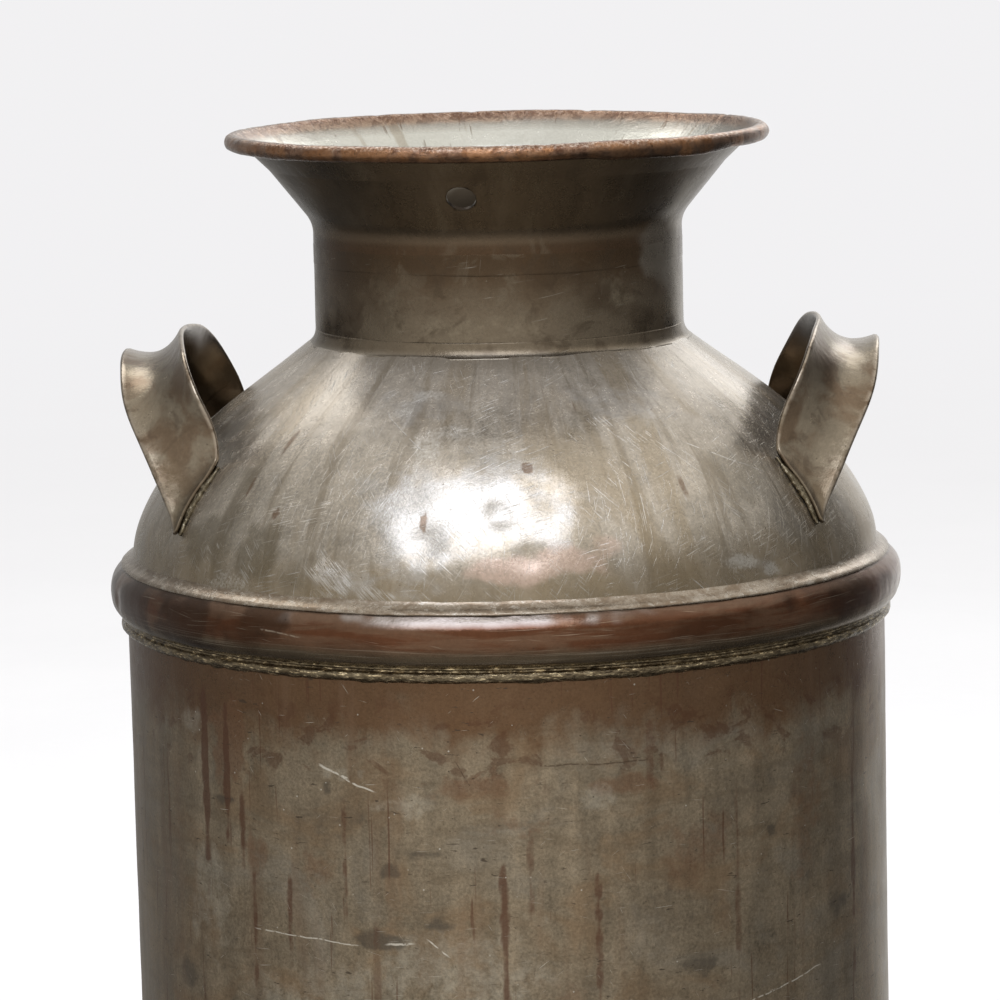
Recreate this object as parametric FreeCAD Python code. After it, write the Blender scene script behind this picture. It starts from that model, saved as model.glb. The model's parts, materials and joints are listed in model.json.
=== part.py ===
import FreeCAD, Part
import math
import os

# Ten-gallon steel milk can, open mouth, two fixed handles.
# Units: mm.  +Z up.  Origin: centre of the can on the plane it stands on.
# The handles lie on +X and -X, the body's side seam faces +Y (the back).
# Round pieces are drawn as (r, z) outlines and revolved about Z.

V = FreeCAD.Vector

# ---------------------------------------------------------------- dimensions
HEIGHT = 610.0            # crest of the rolled rim above the floor
FIT = 0.05                # gap between pieces pushed together before soldering
LOOSE_FIT = 0.1           # gap where a piece slides or stands more freely

FOOT_H = 44.0             # foot hoop
FOOT_R = 169.6
FOOT_LIP_R = 157.5        # inner radius of the lip turned under the body
FOOT_LIP_T = 4.0
FOOT_TOP_FILLET = 3.4
FOOT_LOW_FILLET = 4.5

BODY_R = 165.0            # outside radius of the straight body
BODY_T = 1.5              # body sheet
BODY_IN_R = BODY_R - BODY_T
BODY_BOTTOM_Z = FOOT_LIP_T + LOOSE_FIT    # body sheet stands on the foot hoop's lip
BODY_TOP_Z = 426.4        # body sheet ends under the breast hoop

SEAM_GAP = 0.5            # butted side seam
SEAM_W = 11.0             # brazed bead floated over the seam, width
SEAM_H = 0.9              # and its height above the sheet
SEAM_SKIN = 0.03          # the bead floats this far off the sheet
SEAM_BOTTOM_Z = FOOT_H + 3.8
SEAM_TOP_Z = 396.4

PAN_T = 2.0               # bottom pan
PAN_R = BODY_IN_R - LOOSE_FIT
PAN_Z = 20.0              # top of the pan near its edge
PAN_DISH = 4.0            # how far its middle sinks

NECK_R = 79.8             # outside radius of the neck
NECK_T = 1.4
NECK_BOTTOM_Z = 523.9
NECK_TOP_Z = 556.5
SLEEVE_R = NECK_R - NECK_T - LOOSE_FIT    # collar and bell sleeve, inside the neck tube

BREAST_T = 1.5            # domed breast
BREAST_R = 161.9          # its radius where it goes under the hoop
DOME_FOOT_Z = 430.0       # its dome ends here, heading straight down
DOME_SLOPE_DEG = 37.0     # slope of its straight cone by the neck
COLLAR_TOP_Z = 534.0      # its collar, inside the neck tube
COLLAR_BEND_R = 3.6
SKIRT_R = BODY_IN_R - FIT     # its skirt, inside the body
SKIRT_BOTTOM_Z = 402.0
SKIRT_BEND_R = 3.0

# Outer face of the dome, neck to foot (r, z)
DOME = [(84.0, 518.2), (90.0, 513.7), (100.0, 506.5), (112.0, 497.8), (124.0, 488.1),
        (136.0, 476.9), (146.0, 464.9), (153.0, 454.6), (158.0, 445.0),
        (161.1, 435.6), (BREAST_R, DOME_FOOT_Z)]

HOOP_T = 2.2              # pressed breast hoop
# Outer face of the hoop, top to bottom (r, z)
HOOP_PROFILE = [(165.06, 426.9), (167.1, 424.9), (169.4, 422.6), (171.2, 419.9),
                (172.1, 416.2), (172.0, 411.6), (171.1, 407.8), (169.2, 405.0),
                (167.0, 403.6), (165.06, 403.3)]

BELL_T = 1.4              # flared mouth
BELL_SLEEVE_Z = 538.0     # lower end of its sleeve
JOGGLE_Z = (557.1, 560.3)     # where it steps out from sleeve to neck radius
JOGGLE_BEND_R = 2.6
CONE_Z = 571.06           # where the cone would meet the neck line
CONE_BEND_R = 14.0
KNEE = (98.3, 594.5)      # (r, z) where the cone breaks into the flatter lip
KNEE_BEND_R = 3.0
RIM_R = 116.9             # outside radius of the rolled rim
ROLL_R = 3.45             # radius of the roll
ROLL_END_DEG = -112.0     # where the sheet's edge ends under the roll
WIRE_R = 2.0              # wire inside the roll

HOLE_D = 12.4             # seal-wire holes through the cone
HOLE_CUT = 8.0            # how far the cutter reaches either side of the face
HOLES = [(-7.4, 586.7),   # degrees from -Y towards +X, height of the centre
         (-132.0, 590.0)]

HANDLE_T = 2.4            # strip of the handles
BRAZE_R = 2.6             # braze fillet at the feet
# One half of the right handle's strip, crown to foot:
# station, inner edge x, y, z, outer edge x, y, z, depth of the trough
HANDLE_HALF = [
    (0.0, 138.1, 0.0, 525.0, 163.1, 0.0, 515.7, 6.0),
    (0.2, 135.7, 30.3, 523.1, 161.8, 25.0, 511.2, 5.8),
    (0.4, 131.8, 55.6, 516.8, 158.5, 46.5, 498.6, 5.0),
    (0.6, 125.5, 69.6, 503.7, 150.6, 62.0, 483.1, 4.0),
    (0.8, 119.0, 71.6, 489.4, 142.4, 71.6, 466.4, 2.8),
    (1.0, 116.3, 73.4, 475.0, 134.4, 79.8, 450.0, 1.6),
    (1.25, 114.6, 77.6, 466.0, 130.0, 87.0, 440.0, 1.2)]
# Stations of the lofted sections; the last lies inside the dome
LOFT_HALF = [0.0, 0.14, 0.28, 0.4, 0.52, 0.64, 0.76, 0.88, 1.0, 1.14]
ACROSS_STEPS = 6          # intervals across the strip


# ------------------------------------------------------------------- helpers
def vec(point):
    """(r, z) as a point in the XZ plane."""
    return V(point[0], 0.0, point[1])


def line(start, end):
    return Part.LineSegment(vec(start), vec(end)).toShape()


def arc(start, middle, end):
    return Part.Arc(vec(start), vec(middle), vec(end)).toShape()


def chain(points):
    """Straight edges through the points, left open."""
    return [line(a, b) for a, b in zip(points, points[1:])]


def outline(points, arcs={}):
    """Closed outline; arcs maps a side's index to the point it bows through."""
    edges = []
    for i, start in enumerate(points):
        end = points[(i + 1) % len(points)]
        edges.append(arc(start, arcs[i], end) if i in arcs else line(start, end))
    return edges


def around_axis(start, end):
    """Lines from start in to the axis, along it, and out to end."""
    return chain([start, (0.0, start[1]), (0.0, end[1]), end])


def spline_through(points):
    """B-spline through points in space."""
    curve = Part.BSplineCurve()
    curve.interpolate(Points=points)
    return curve


def spline(points, start_heading, end_heading):
    """B-spline through (r, z) points with given end tangents."""
    curve = Part.BSplineCurve()
    curve.interpolate(Points=[vec(p) for p in points],
                      InitialTangent=vec(start_heading), FinalTangent=vec(end_heading))
    return curve


def outward(shape):
    """Turn an inside-out solid the right way round."""
    if shape.Volume < 0:
        shape.reverse()
    return shape


def spin(edges):
    wire = Part.Wire(Part.__sortEdges__(edges))
    return outward(Part.Face(wire).revolve(V(0, 0, 0), V(0, 0, 1), 360))


def tube(outer_r, thickness, bottom_z, top_z):
    inner_r = outer_r - thickness
    return spin(outline([(inner_r, bottom_z), (outer_r, bottom_z),
                         (outer_r, top_z), (inner_r, top_z)]))


def largest(solids):
    return max(solids, key=lambda s: s.Volume)


def unit(x, y):
    length = math.hypot(x, y)
    return x / length, y / length


def cross_lines(p, p_dir, q, q_dir):
    """Where the line through p meets the line through q."""
    den = p_dir[0] * q_dir[1] - p_dir[1] * q_dir[0]
    along = ((q[0] - p[0]) * q_dir[1] - (q[1] - p[1]) * q_dir[0]) / den
    return (p[0] + p_dir[0] * along, p[1] + p_dir[1] * along)


def bent_face(corners, offset):
    """Edges, start and end of one face of a bent sheet.

    corners are (r, z, bend radius of the base face), the end radii unused;
    offset moves the face to the left of the direction of travel.
    """
    def shifted(corner, heading):
        return (corner[0] - heading[1] * offset, corner[1] + heading[0] * offset)

    headings = [unit(b[0] - a[0], b[1] - a[1]) for a, b in zip(corners, corners[1:])]
    start = last = shifted(corners[0], headings[0])
    edges = []
    for corner, a, b in zip(corners[1:-1], headings, headings[1:]):
        sharp = cross_lines(shifted(corner, a), a, shifted(corner, b), b)
        turn = math.atan2(a[0] * b[1] - a[1] * b[0], a[0] * b[0] + a[1] * b[1])
        radius = corner[2] + (-offset if turn > 0 else offset)
        setback = radius * math.tan(abs(turn) / 2)
        bend_start = (sharp[0] - a[0] * setback, sharp[1] - a[1] * setback)
        bend_end = (sharp[0] + b[0] * setback, sharp[1] + b[1] * setback)
        bisector = unit(b[0] - a[0], b[1] - a[1])
        depth = radius / math.cos(turn / 2) - radius
        middle = (sharp[0] + bisector[0] * depth, sharp[1] + bisector[1] * depth)
        edges += [line(last, bend_start), arc(bend_start, middle, bend_end)]
        last = bend_end
    end = shifted(corners[-1], headings[-1])
    edges.append(line(last, end))
    return edges, start, end


def offset_points(curve, distance, steps):
    """Evenly spaced points moved to the right of the curve's travel."""
    length = curve.length()
    points = []
    for i in range(steps + 1):
        u = curve.parameterAtDistance(length * i / steps, curve.FirstParameter)
        point = curve.value(u)
        tangent = curve.tangent(u)[0]
        tx, tz = unit(tangent.x, tangent.z)
        points.append((point.x + tz * distance, point.z - tx * distance))
    return points


def bisect(low, high, is_before):
    """Where is_before turns from true to false."""
    for _ in range(40):
        middle = 0.5 * (low + high)
        if is_before(middle):
            low = middle
        else:
            high = middle
    return low


# ---------------------------------------------------------------- foot hoop
def foot_hoop():
    inner_r = BODY_R + FIT
    solid = spin(outline([(inner_r, FOOT_LIP_T), (inner_r, FOOT_H), (FOOT_R, FOOT_H),
                          (FOOT_R, 0.0), (FOOT_LIP_R, 0.0), (FOOT_LIP_R, FOOT_LIP_T)]))
    for z, radius in ((FOOT_H, FOOT_TOP_FILLET), (0.0, FOOT_LOW_FILLET)):
        rims = []
        for edge in solid.Edges:
            p = edge.valueAt(edge.FirstParameter)
            on_outside = abs(math.hypot(p.x, p.y) - FOOT_R) < 0.01
            if edge.Closed and on_outside and abs(p.z - z) < 0.01:
                rims.append(edge)
        solid = solid.makeFillet(radius, rims)
    return solid


def foot_hoop_solder():
    # (out from the body, above the hoop)
    profile = [(FIT, FIT), (FIT, 3.4), (0.35, 3.4), (0.85, 1.6), (1.7, 0.45), (2.3, FIT)]
    return spin(outline([(BODY_R + out, FOOT_H + up) for out, up in profile]))


# --------------------------------------------------------------- bottom pan
PAN_CORNERS = [(PAN_R, BODY_BOTTOM_Z, 0.0), (PAN_R, PAN_Z + 1.0, 7.0),
               (95.0, PAN_Z - PAN_DISH, 60.0), (0.0, PAN_Z - PAN_DISH, 0.0)]


def bottom_pan():
    upper, upper_start, upper_end = bent_face(PAN_CORNERS, 0.0)
    under, under_start, under_end = bent_face(PAN_CORNERS, PAN_T)
    return spin(upper + under + [line(upper_start, under_start), line(upper_end, under_end)])


def bottom_solder():
    """Fillet between the top of the pan and the inside of the body."""
    wall = BODY_IN_R - 0.02
    inner = wall - 5.6
    low = PAN_Z - 6.5
    solder = spin(outline([(wall, low), (wall, PAN_Z + 4.6), (inner, PAN_Z + 0.5), (inner, low)],
                          {1: (wall - 2.0, PAN_Z + 1.5)}))
    # everything under the pan's upper face
    floor = BODY_BOTTOM_Z - 1.0
    upper, start, end = bent_face(PAN_CORNERS, 0.0)
    below_pan = spin(upper + chain([end, (0.0, floor), (PAN_R, floor), start]))
    solder = solder.cut(below_pan)
    return largest([s for s in solder.Solids if s.CenterOfMass.z > PAN_Z - 4.0])


# --------------------------------------------------------------- body shell
def body_shell():
    body = tube(BODY_R, BODY_T, BODY_BOTTOM_Z, BODY_TOP_Z)
    slit = Part.makeBox(SEAM_GAP, 12, 600, V(-SEAM_GAP / 2, BODY_R - 6, -20))
    return body.cut(slit)


def side_seam_braze():
    """A tongue through the butt gap and a low crowned bead outside."""
    length = SEAM_TOP_Z - SEAM_BOTTOM_Z
    tongue_w = SEAM_GAP - 0.04
    tongue = Part.makeBox(tongue_w, BODY_T + 0.6, length,
                          V(-tongue_w / 2, BODY_IN_R, SEAM_BOTTOM_Z))
    # (share of the half width, height above the sheet), over the crown and back under
    profile = [(-1.0, SEAM_SKIN), (-0.8, 0.42), (-0.38, SEAM_H),
               (0.38, SEAM_H), (0.8, 0.42), (1.0, SEAM_SKIN),
               (0.5, SEAM_SKIN), (0.0, SEAM_SKIN), (-0.5, SEAM_SKIN)]
    ring = []
    for share, lift in profile:
        x = SEAM_W / 2 * share
        ring.append(V(x, math.sqrt((BODY_R + lift) ** 2 - x ** 2), 0))
    bead = Part.Face(Part.makePolygon(ring + [ring[0]])).extrude(V(0, 0, length))
    bead.translate(V(0, 0, SEAM_BOTTOM_Z))
    return bead.fuse(tongue).removeSplitter()


# ------------------------------------------------------------------- breast
DOWN = (0.0, -1.0)
DOME_HEADING = (math.cos(math.radians(DOME_SLOPE_DEG)), -math.sin(math.radians(DOME_SLOPE_DEG)))
DOME_CURVE = spline(DOME, DOME_HEADING, DOWN)
COLLAR_BEND = cross_lines((SLEEVE_R, 0.0), (0.0, 1.0), DOME[0], DOME_HEADING)
COLLAR = [(SLEEVE_R, COLLAR_TOP_Z, 0.0), (COLLAR_BEND[0], COLLAR_BEND[1], COLLAR_BEND_R),
          (DOME[0][0], DOME[0][1], 0.0)]
SKIRT = [(BREAST_R, DOME_FOOT_Z, 0.0), (BREAST_R, 427.2, SKIRT_BEND_R),
         (SKIRT_R, 423.4, SKIRT_BEND_R), (SKIRT_R, SKIRT_BOTTOM_Z, 0.0)]


def breast():
    collar_out, collar_out_top, _ = bent_face(COLLAR, 0.0)
    collar_in, collar_in_top, _ = bent_face(COLLAR, -BREAST_T)
    skirt_out, _, skirt_out_end = bent_face(SKIRT, 0.0)
    skirt_in, _, skirt_in_end = bent_face(SKIRT, -BREAST_T)
    inner_curve = spline(offset_points(DOME_CURVE, BREAST_T, 28), DOME_HEADING, DOWN)
    return spin(collar_out + collar_in + skirt_out + skirt_in
                + [DOME_CURVE.toShape(), inner_curve.toShape(),
                   line(collar_out_top, collar_in_top), line(skirt_out_end, skirt_in_end)])


def breast_filled():
    """Everything inside the breast's outer face, to trim what sits on it."""
    collar, collar_top, _ = bent_face(COLLAR, 0.0)
    skirt, _, skirt_end = bent_face(SKIRT, 0.0)
    return spin(collar + skirt + [DOME_CURVE.toShape()] + around_axis(collar_top, skirt_end))


# -------------------------------------------------------------- breast hoop
HOOP_CURVE = spline_through([vec(p) for p in HOOP_PROFILE])
HOOP_TOP, HOOP_BOTTOM = HOOP_PROFILE[0], HOOP_PROFILE[-1]


def breast_hoop():
    bore = BODY_R + FIT
    inner = [p for p in offset_points(HOOP_CURVE, HOOP_T, 24) if p[0] > bore + 0.25]
    # run the inner face on to the bore at both ends
    top = (bore + 0.01, inner[0][1] + (inner[0][0] - bore) * 0.9)
    bottom = (bore + 0.01, inner[-1][1] - (inner[-1][0] - bore) * 0.1)
    inner_curve = spline_through([vec(p) for p in [top] + inner + [bottom]])
    return spin([HOOP_CURVE.toShape(), inner_curve.toShape(),
                 line(HOOP_TOP, top), line(HOOP_BOTTOM, bottom)])


def hoop_filled():
    """The hoop without its hollow, reaching just inside the body's face."""
    inner = BODY_R - 0.6
    return spin([HOOP_CURVE.toShape()] + chain([HOOP_TOP, (inner, HOOP_TOP[1]),
                                                (inner, HOOP_BOTTOM[1]), HOOP_BOTTOM]))


def hoop_solder_upper(breast_fill, hoop_fill):
    """Fillet over the hoop's upper edge, the body's edge and the dome."""
    inner, top, low = BREAST_R - 1.5, 431.4, 424.0
    solder = spin(outline([(inner, top), (BREAST_R - 0.1, top), (167.6, 425.4),
                           (167.0, low), (inner, low)],
                          {1: (163.75, 428.35)}))
    base_z = 380.0
    body_fill = Part.makeCylinder(BODY_R + 0.01, BODY_TOP_Z + 0.02 - base_z, V(0, 0, base_z))
    return largest(solder.cut(breast_fill).cut(hoop_fill).cut(body_fill).Solids)


def hoop_solder_lower(hoop_fill):
    """Thick bead under the hoop."""
    inner, top = BODY_R + 0.01, 403.9
    solder = spin(outline([(inner, top), (167.4, top), (166.7, 402.9),
                           (166.6, 398.3), (inner, 396.9)],
                          {2: (167.5, 400.6), 3: (165.9, 397.4)}))
    return min(solder.cut(hoop_fill).Solids, key=lambda s: s.CenterOfMass.z)


# --------------------------------------------------------------------- neck
def neck_tube():
    return tube(NECK_R, NECK_T, NECK_BOTTOM_Z, NECK_TOP_Z)


def neck_base_solder(breast_fill):
    """Fillet between the neck tube's lower end and the breast."""
    inner, top, low = SLEEVE_R - 0.6, NECK_BOTTOM_Z - FIT, 518.4
    solder = spin(outline([(inner, top), (NECK_R, top), (82.0, 519.75),
                           (80.6, low), (inner, low)],
                          {1: (80.35, 521.45)}))
    return largest(solder.cut(breast_fill).Solids)


# --------------------------------------------------------------------- bell
ROLL_X, ROLL_Z = RIM_R - ROLL_R, HEIGHT - ROLL_R      # centre of the roll
ROLL_IN_R = ROLL_R - BELL_T       # the sheet's lower face wraps the wire


def on_roll(radius, angle):
    return (ROLL_X + radius * math.cos(angle), ROLL_Z + radius * math.sin(angle))


# The lip's lower face runs from the knee tangent to the inside of the roll
LIP_ANGLE = (math.atan2(ROLL_Z - KNEE[1], ROLL_X - KNEE[0])
             + math.asin(ROLL_IN_R / math.hypot(ROLL_X - KNEE[0], ROLL_Z - KNEE[1])))
ROLL_START = LIP_ANGLE + math.pi / 2
LIP_END = on_roll(ROLL_IN_R, ROLL_START)
BELL_CORNERS = [(SLEEVE_R, BELL_SLEEVE_Z, 0.0), (SLEEVE_R, JOGGLE_Z[0], JOGGLE_BEND_R),
                (NECK_R, JOGGLE_Z[1], JOGGLE_BEND_R), (NECK_R, CONE_Z, CONE_BEND_R),
                (KNEE[0], KNEE[1], KNEE_BEND_R), (LIP_END[0], LIP_END[1], 0.0)]


def roll_arc(radius):
    """Arc of one face of the roll, and the point where it ends."""
    stop = math.radians(ROLL_END_DEG)
    end = on_roll(radius, stop)
    middle = on_roll(radius, 0.5 * (ROLL_START + stop))
    return arc(on_roll(radius, ROLL_START), middle, end), end


def bell():
    outer, outer_start, _ = bent_face(BELL_CORNERS, 0.0)
    inner, inner_start, _ = bent_face(BELL_CORNERS, BELL_T)
    small_arc, small_end = roll_arc(ROLL_IN_R)
    large_arc, large_end = roll_arc(ROLL_R)
    solid = spin(outer + inner + [small_arc, large_arc, line(outer_start, inner_start),
                                  line(small_end, large_end)])
    cone_r, cone_z = unit(KNEE[0] - NECK_R, KNEE[1] - CONE_Z)     # heading up the cone
    for azimuth, height in HOLES:
        angle = math.radians(azimuth)
        radial = V(math.sin(angle), -math.cos(angle), 0)
        normal = radial * cone_z + V(0, 0, 1) * (-cone_r)     # out of the cone
        face_r = NECK_R + (height - CONE_Z) * cone_r / cone_z
        centre = radial * face_r + V(0, 0, height)
        solid = solid.cut(Part.makeCylinder(HOLE_D / 2, 2 * HOLE_CUT,
                                            centre - normal * HOLE_CUT, normal))
    return solid


def rim_wire():
    return Part.makeTorus(ROLL_X, WIRE_R, V(0, 0, ROLL_Z), V(0, 0, 1))


def neck_top_solder():
    """Solder in the groove between the neck tube's top and the bell's joggle."""
    inner, low, top = SLEEVE_R - 0.4, NECK_TOP_Z + 0.02, 561.4
    groove = spin(outline([(inner, low), (NECK_R, low), (NECK_R, top), (inner, top)]))
    outer, start, end = bent_face(BELL_CORNERS, 0.0)
    bell_filled = spin(outer + around_axis(start, end))
    return largest(groove.cut(bell_filled).Solids)


# ------------------------------------------------------------------ handles
def natural_cubic(knots, values):
    """Natural cubic spline through (knot, value) pairs, as a callable."""
    n = len(knots)
    gap = [knots[i + 1] - knots[i] for i in range(n - 1)]
    upper, solved = [0.0] * n, [0.0] * n
    for i in range(1, n - 1):
        rhs = (3 * (values[i + 1] - values[i]) / gap[i]
               - 3 * (values[i] - values[i - 1]) / gap[i - 1])
        pivot = 2 * (knots[i + 1] - knots[i - 1]) - gap[i - 1] * upper[i - 1]
        upper[i] = gap[i] / pivot
        solved[i] = (rhs - gap[i - 1] * solved[i - 1]) / pivot
    linear, square, cube = [0.0] * n, [0.0] * n, [0.0] * n
    for j in range(n - 2, -1, -1):
        square[j] = solved[j] - upper[j] * square[j + 1]
        linear[j] = ((values[j + 1] - values[j]) / gap[j]
                     - gap[j] * (square[j + 1] + 2 * square[j]) / 3)
        cube[j] = (square[j + 1] - square[j]) / (3 * gap[j])

    def evaluate(x):
        j = 0
        while j < n - 2 and x > knots[j + 1]:
            j += 1
        step = x - knots[j]
        return values[j] + linear[j] * step + square[j] * step * step + cube[j] * step ** 3
    return evaluate


def handle_tracks():
    """Splines along the whole strip: inner x, y, z, outer x, y, z, trough depth."""
    mirrored = [(-t, xi, -yi, zi, xo, -yo, zo, depth)
                for t, xi, yi, zi, xo, yo, zo, depth in HANDLE_HALF[:0:-1]]
    columns = list(zip(*(mirrored + HANDLE_HALF)))
    return [natural_cubic(columns[0], column) for column in columns[1:]]


TRACKS = handle_tracks()
STEP = 0.01               # step for finding directions on the strip


def strip_edges(t):
    """Inner and outer edge points and trough depth at station t."""
    values = [track(t) for track in TRACKS]
    return V(*values[:3]), V(*values[3:6]), values[6]


def strip_point(t, s):
    """Mid-face point of the strip, s from 0 at the inner edge to 1 at the outer."""
    inner, outer, depth = strip_edges(t)
    next_inner, next_outer, _ = strip_edges(t + STEP)
    normal = (outer - inner).cross(next_inner + next_outer - inner - outer)
    normal.normalize()
    return inner + (outer - inner) * s - normal * (depth * 4.0 * s * (1.0 - s))


def strip_normal(t, s):
    along = strip_point(t + STEP, s) - strip_point(t - STEP, s)
    across = strip_point(t, min(1.0, s + STEP)) - strip_point(t, max(0.0, s - STEP))
    normal = across.cross(along)
    normal.normalize()
    return normal


def strip_section(t):
    top, bottom = [], []
    for k in range(ACROSS_STEPS + 1):
        s = k / ACROSS_STEPS
        point = strip_point(t, s)
        half = strip_normal(t, s) * (HANDLE_T / 2)
        top.append(point + half)
        bottom.append(point - half)
    return Part.Wire([spline_through(top).toShape(),
                      Part.LineSegment(top[-1], bottom[-1]).toShape(),
                      spline_through(bottom).toShape(),
                      Part.LineSegment(bottom[0], top[0]).toShape()])


def right_handle(breast_fill):
    stations = [-t for t in LOFT_HALF[:0:-1]] + LOFT_HALF
    strip = outward(Part.makeLoft([strip_section(t) for t in stations], True, False))
    return largest(strip.cut(breast_fill).Solids)


def above_dome(point):
    """Whether a point is above, or out beyond, the dome's outer face."""
    r = math.hypot(point.x, point.y)
    if r >= BREAST_R - 0.02:
        return True
    u = bisect(DOME_CURVE.FirstParameter, DOME_CURVE.LastParameter,
               lambda mid: DOME_CURVE.value(mid).x < r)
    return point.z > DOME_CURVE.value(u).z


def foot_line(side):
    """Where the strip's mid face meets the dome, inner corner to outer."""
    points = []
    for k in range(ACROSS_STEPS + 1):
        s = 0.03 + 0.94 * k / ACROSS_STEPS
        t = bisect(0.7, LOFT_HALF[-1], lambda mid: above_dome(strip_point(side * mid, s)))
        points.append(strip_point(side * t, s))
    return points


def foot_braze(side, handle, breast_fill):
    """Round bead along one foot; side is 1 for the +Y foot, -1 for the -Y one."""
    points = foot_line(side)
    path = spline_through(points)
    ring = Part.Wire([Part.makeCircle(BRAZE_R, points[0], path.tangent(path.FirstParameter)[0])])
    bead = outward(Part.Wire([path.toShape()]).makePipeShell([ring], True, False))
    ends = [Part.makeSphere(BRAZE_R, points[0]), Part.makeSphere(BRAZE_R, points[-1])]
    bead = bead.fuse(ends).cut(breast_fill).cut(handle)
    return [s for s in bead.Solids if s.Volume > 3.0]     # leaves out slivers


def to_left(shape):
    return shape.mirror(V(0, 0, 0), V(1, 0, 0))


# ------------------------------------------------------------------- export
breast_fill = breast_filled()
hoop_fill = hoop_filled()
handle = right_handle(breast_fill)
handle_braze = Part.Compound(foot_braze(1, handle, breast_fill)
                             + foot_braze(-1, handle, breast_fill))

parts = {
    "foot_hoop": foot_hoop(),
    "foot_hoop_solder": foot_hoop_solder(),
    "bottom_pan": bottom_pan(),
    "bottom_solder": bottom_solder(),
    "body_shell": body_shell(),
    "side_seam_braze": side_seam_braze(),
    "breast": breast(),
    "breast_hoop": breast_hoop(),
    "hoop_solder_upper": hoop_solder_upper(breast_fill, hoop_fill),
    "hoop_solder_lower": hoop_solder_lower(hoop_fill),
    "neck_tube": neck_tube(),
    "neck_base_solder": neck_base_solder(breast_fill),
    "bell": bell(),
    "rim_wire": rim_wire(),
    "neck_top_solder": neck_top_solder(),
    "handle_right": handle,
    "handle_braze_right": handle_braze,
    "handle_left": to_left(handle),
    "handle_braze_left": to_left(handle_braze),
}

os.makedirs("parts", exist_ok=True)
for name, shape in parts.items():
    shape.exportStep("parts/" + name + ".step")
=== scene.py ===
"""A tarnished steel churn: a cylindrical body with a foot hoop, a domed breast
under a shouldered hoop, a neck, a flared mouth with a rolled rim, and two
strip handles on the dome.

It stands on z = 0 around the Z axis.  The front faces -Y, the brazed side
seam runs down the back (+Y), and the handles lie towards +X and -X.
Shape numbers are in millimetres.  Azimuths ("az") are in degrees from -Y
towards +X.  Sections are lists of (radius, height).
"""
import json
import math
from functools import reduce

import bmesh
import bpy
import numpy as np
from mathutils import Matrix, Vector


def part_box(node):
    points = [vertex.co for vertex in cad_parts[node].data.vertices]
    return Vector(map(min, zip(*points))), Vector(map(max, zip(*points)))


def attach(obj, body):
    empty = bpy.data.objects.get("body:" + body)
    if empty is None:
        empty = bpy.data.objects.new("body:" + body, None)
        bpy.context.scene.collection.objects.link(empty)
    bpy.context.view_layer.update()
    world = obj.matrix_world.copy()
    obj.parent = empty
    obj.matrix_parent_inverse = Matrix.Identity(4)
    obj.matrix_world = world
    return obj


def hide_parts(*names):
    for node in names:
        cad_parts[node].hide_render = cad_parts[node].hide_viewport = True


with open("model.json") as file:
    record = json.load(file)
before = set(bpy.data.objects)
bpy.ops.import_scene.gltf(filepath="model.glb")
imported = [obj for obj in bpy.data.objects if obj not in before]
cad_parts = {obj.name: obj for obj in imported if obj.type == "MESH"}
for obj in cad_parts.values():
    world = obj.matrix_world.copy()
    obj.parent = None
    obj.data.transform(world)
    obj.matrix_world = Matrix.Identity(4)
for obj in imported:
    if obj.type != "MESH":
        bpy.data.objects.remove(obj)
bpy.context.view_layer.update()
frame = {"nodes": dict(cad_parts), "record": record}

PI = math.pi
rad = math.radians


# ------------------------------------------------- places of the CAD pieces
def box_mm(node):
    """Lowest and highest corner of a CAD piece."""
    return [[c * 1000.0 for c in corner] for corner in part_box(node)]


def radius_and_heights(node):
    low, high = box_mm(node)
    return high[0], low[2], high[2]


_, _, TOP = radius_and_heights("bell")
BODY_R, BODY_Z0, BODY_Z1 = radius_and_heights("body_shell")
FOOT_R, _, FOOT_H = radius_and_heights("foot_hoop")
NECK_R, NECK_Z0, NECK_Z1 = radius_and_heights("neck_tube")
_, SKIRT_Z, COLLAR_Z = radius_and_heights("breast")
_, SEAM_Z0, SEAM_Z1 = radius_and_heights("side_seam_braze")
PAN_R, PAN_Z0, _ = radius_and_heights("bottom_pan")

SHEET = 1.5                   # wall of the body and the breast
NECK_WALL = 1.4
SLEEVE_R = NECK_R - 1.5       # collars that slip inside the neck tube
SEAL_HOLES = [m for m in frame["record"]["mounts"] if m["name"].startswith("seal_hole")]


# ---------------------------------------------------------- noise and maths
def lattice(ix, iy, iz, seed):
    """Hashed value in -1..1 at integer lattice points."""
    bits = 0xFFFFFFFF
    n = (ix * 374761393 + iy * 668265263 + iz * 1440662683 + seed * 974634777) & bits
    n = ((n ^ (n >> 13)) * 1274126177) & bits
    n = ((n ^ (n >> 15)) * 2246822519) & bits
    n = n ^ (n >> 16)
    return n.astype(np.float64) / 4294967295.0 * 2.0 - 1.0


def value_noise(points, seed):
    """Smooth value noise in -1..1 at points (..., 3)."""
    points = np.asarray(points, float)
    cell = np.floor(points).astype(np.int64)
    f = points - cell
    f = f * f * f * (f * (f * 6 - 15) + 10)
    out = 0.0
    for dx in (0, 1):
        wx = f[..., 0] if dx else 1 - f[..., 0]
        for dy in (0, 1):
            wy = f[..., 1] if dy else 1 - f[..., 1]
            for dz in (0, 1):
                wz = f[..., 2] if dz else 1 - f[..., 2]
                corner = lattice(cell[..., 0] + dx, cell[..., 1] + dy, cell[..., 2] + dz, seed)
                out = out + wx * wy * wz * corner
    return out


def fractal(points, size, octaves, seed):
    """Octaves of value noise, the largest with cells of the given size."""
    out, scale, weight, total = 0.0, 1.0 / size, 1.0, 0.0
    for octave in range(octaves):
        out = out + weight * value_noise(points * scale, seed + 17 * octave)
        total += weight
        weight *= 0.5
        scale *= 2.07
    return out / total


def smoothstep(start, end, x):
    t = np.clip((x - start) / (end - start), 0.0, 1.0)
    return t * t * (3 - 2 * t)


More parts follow.
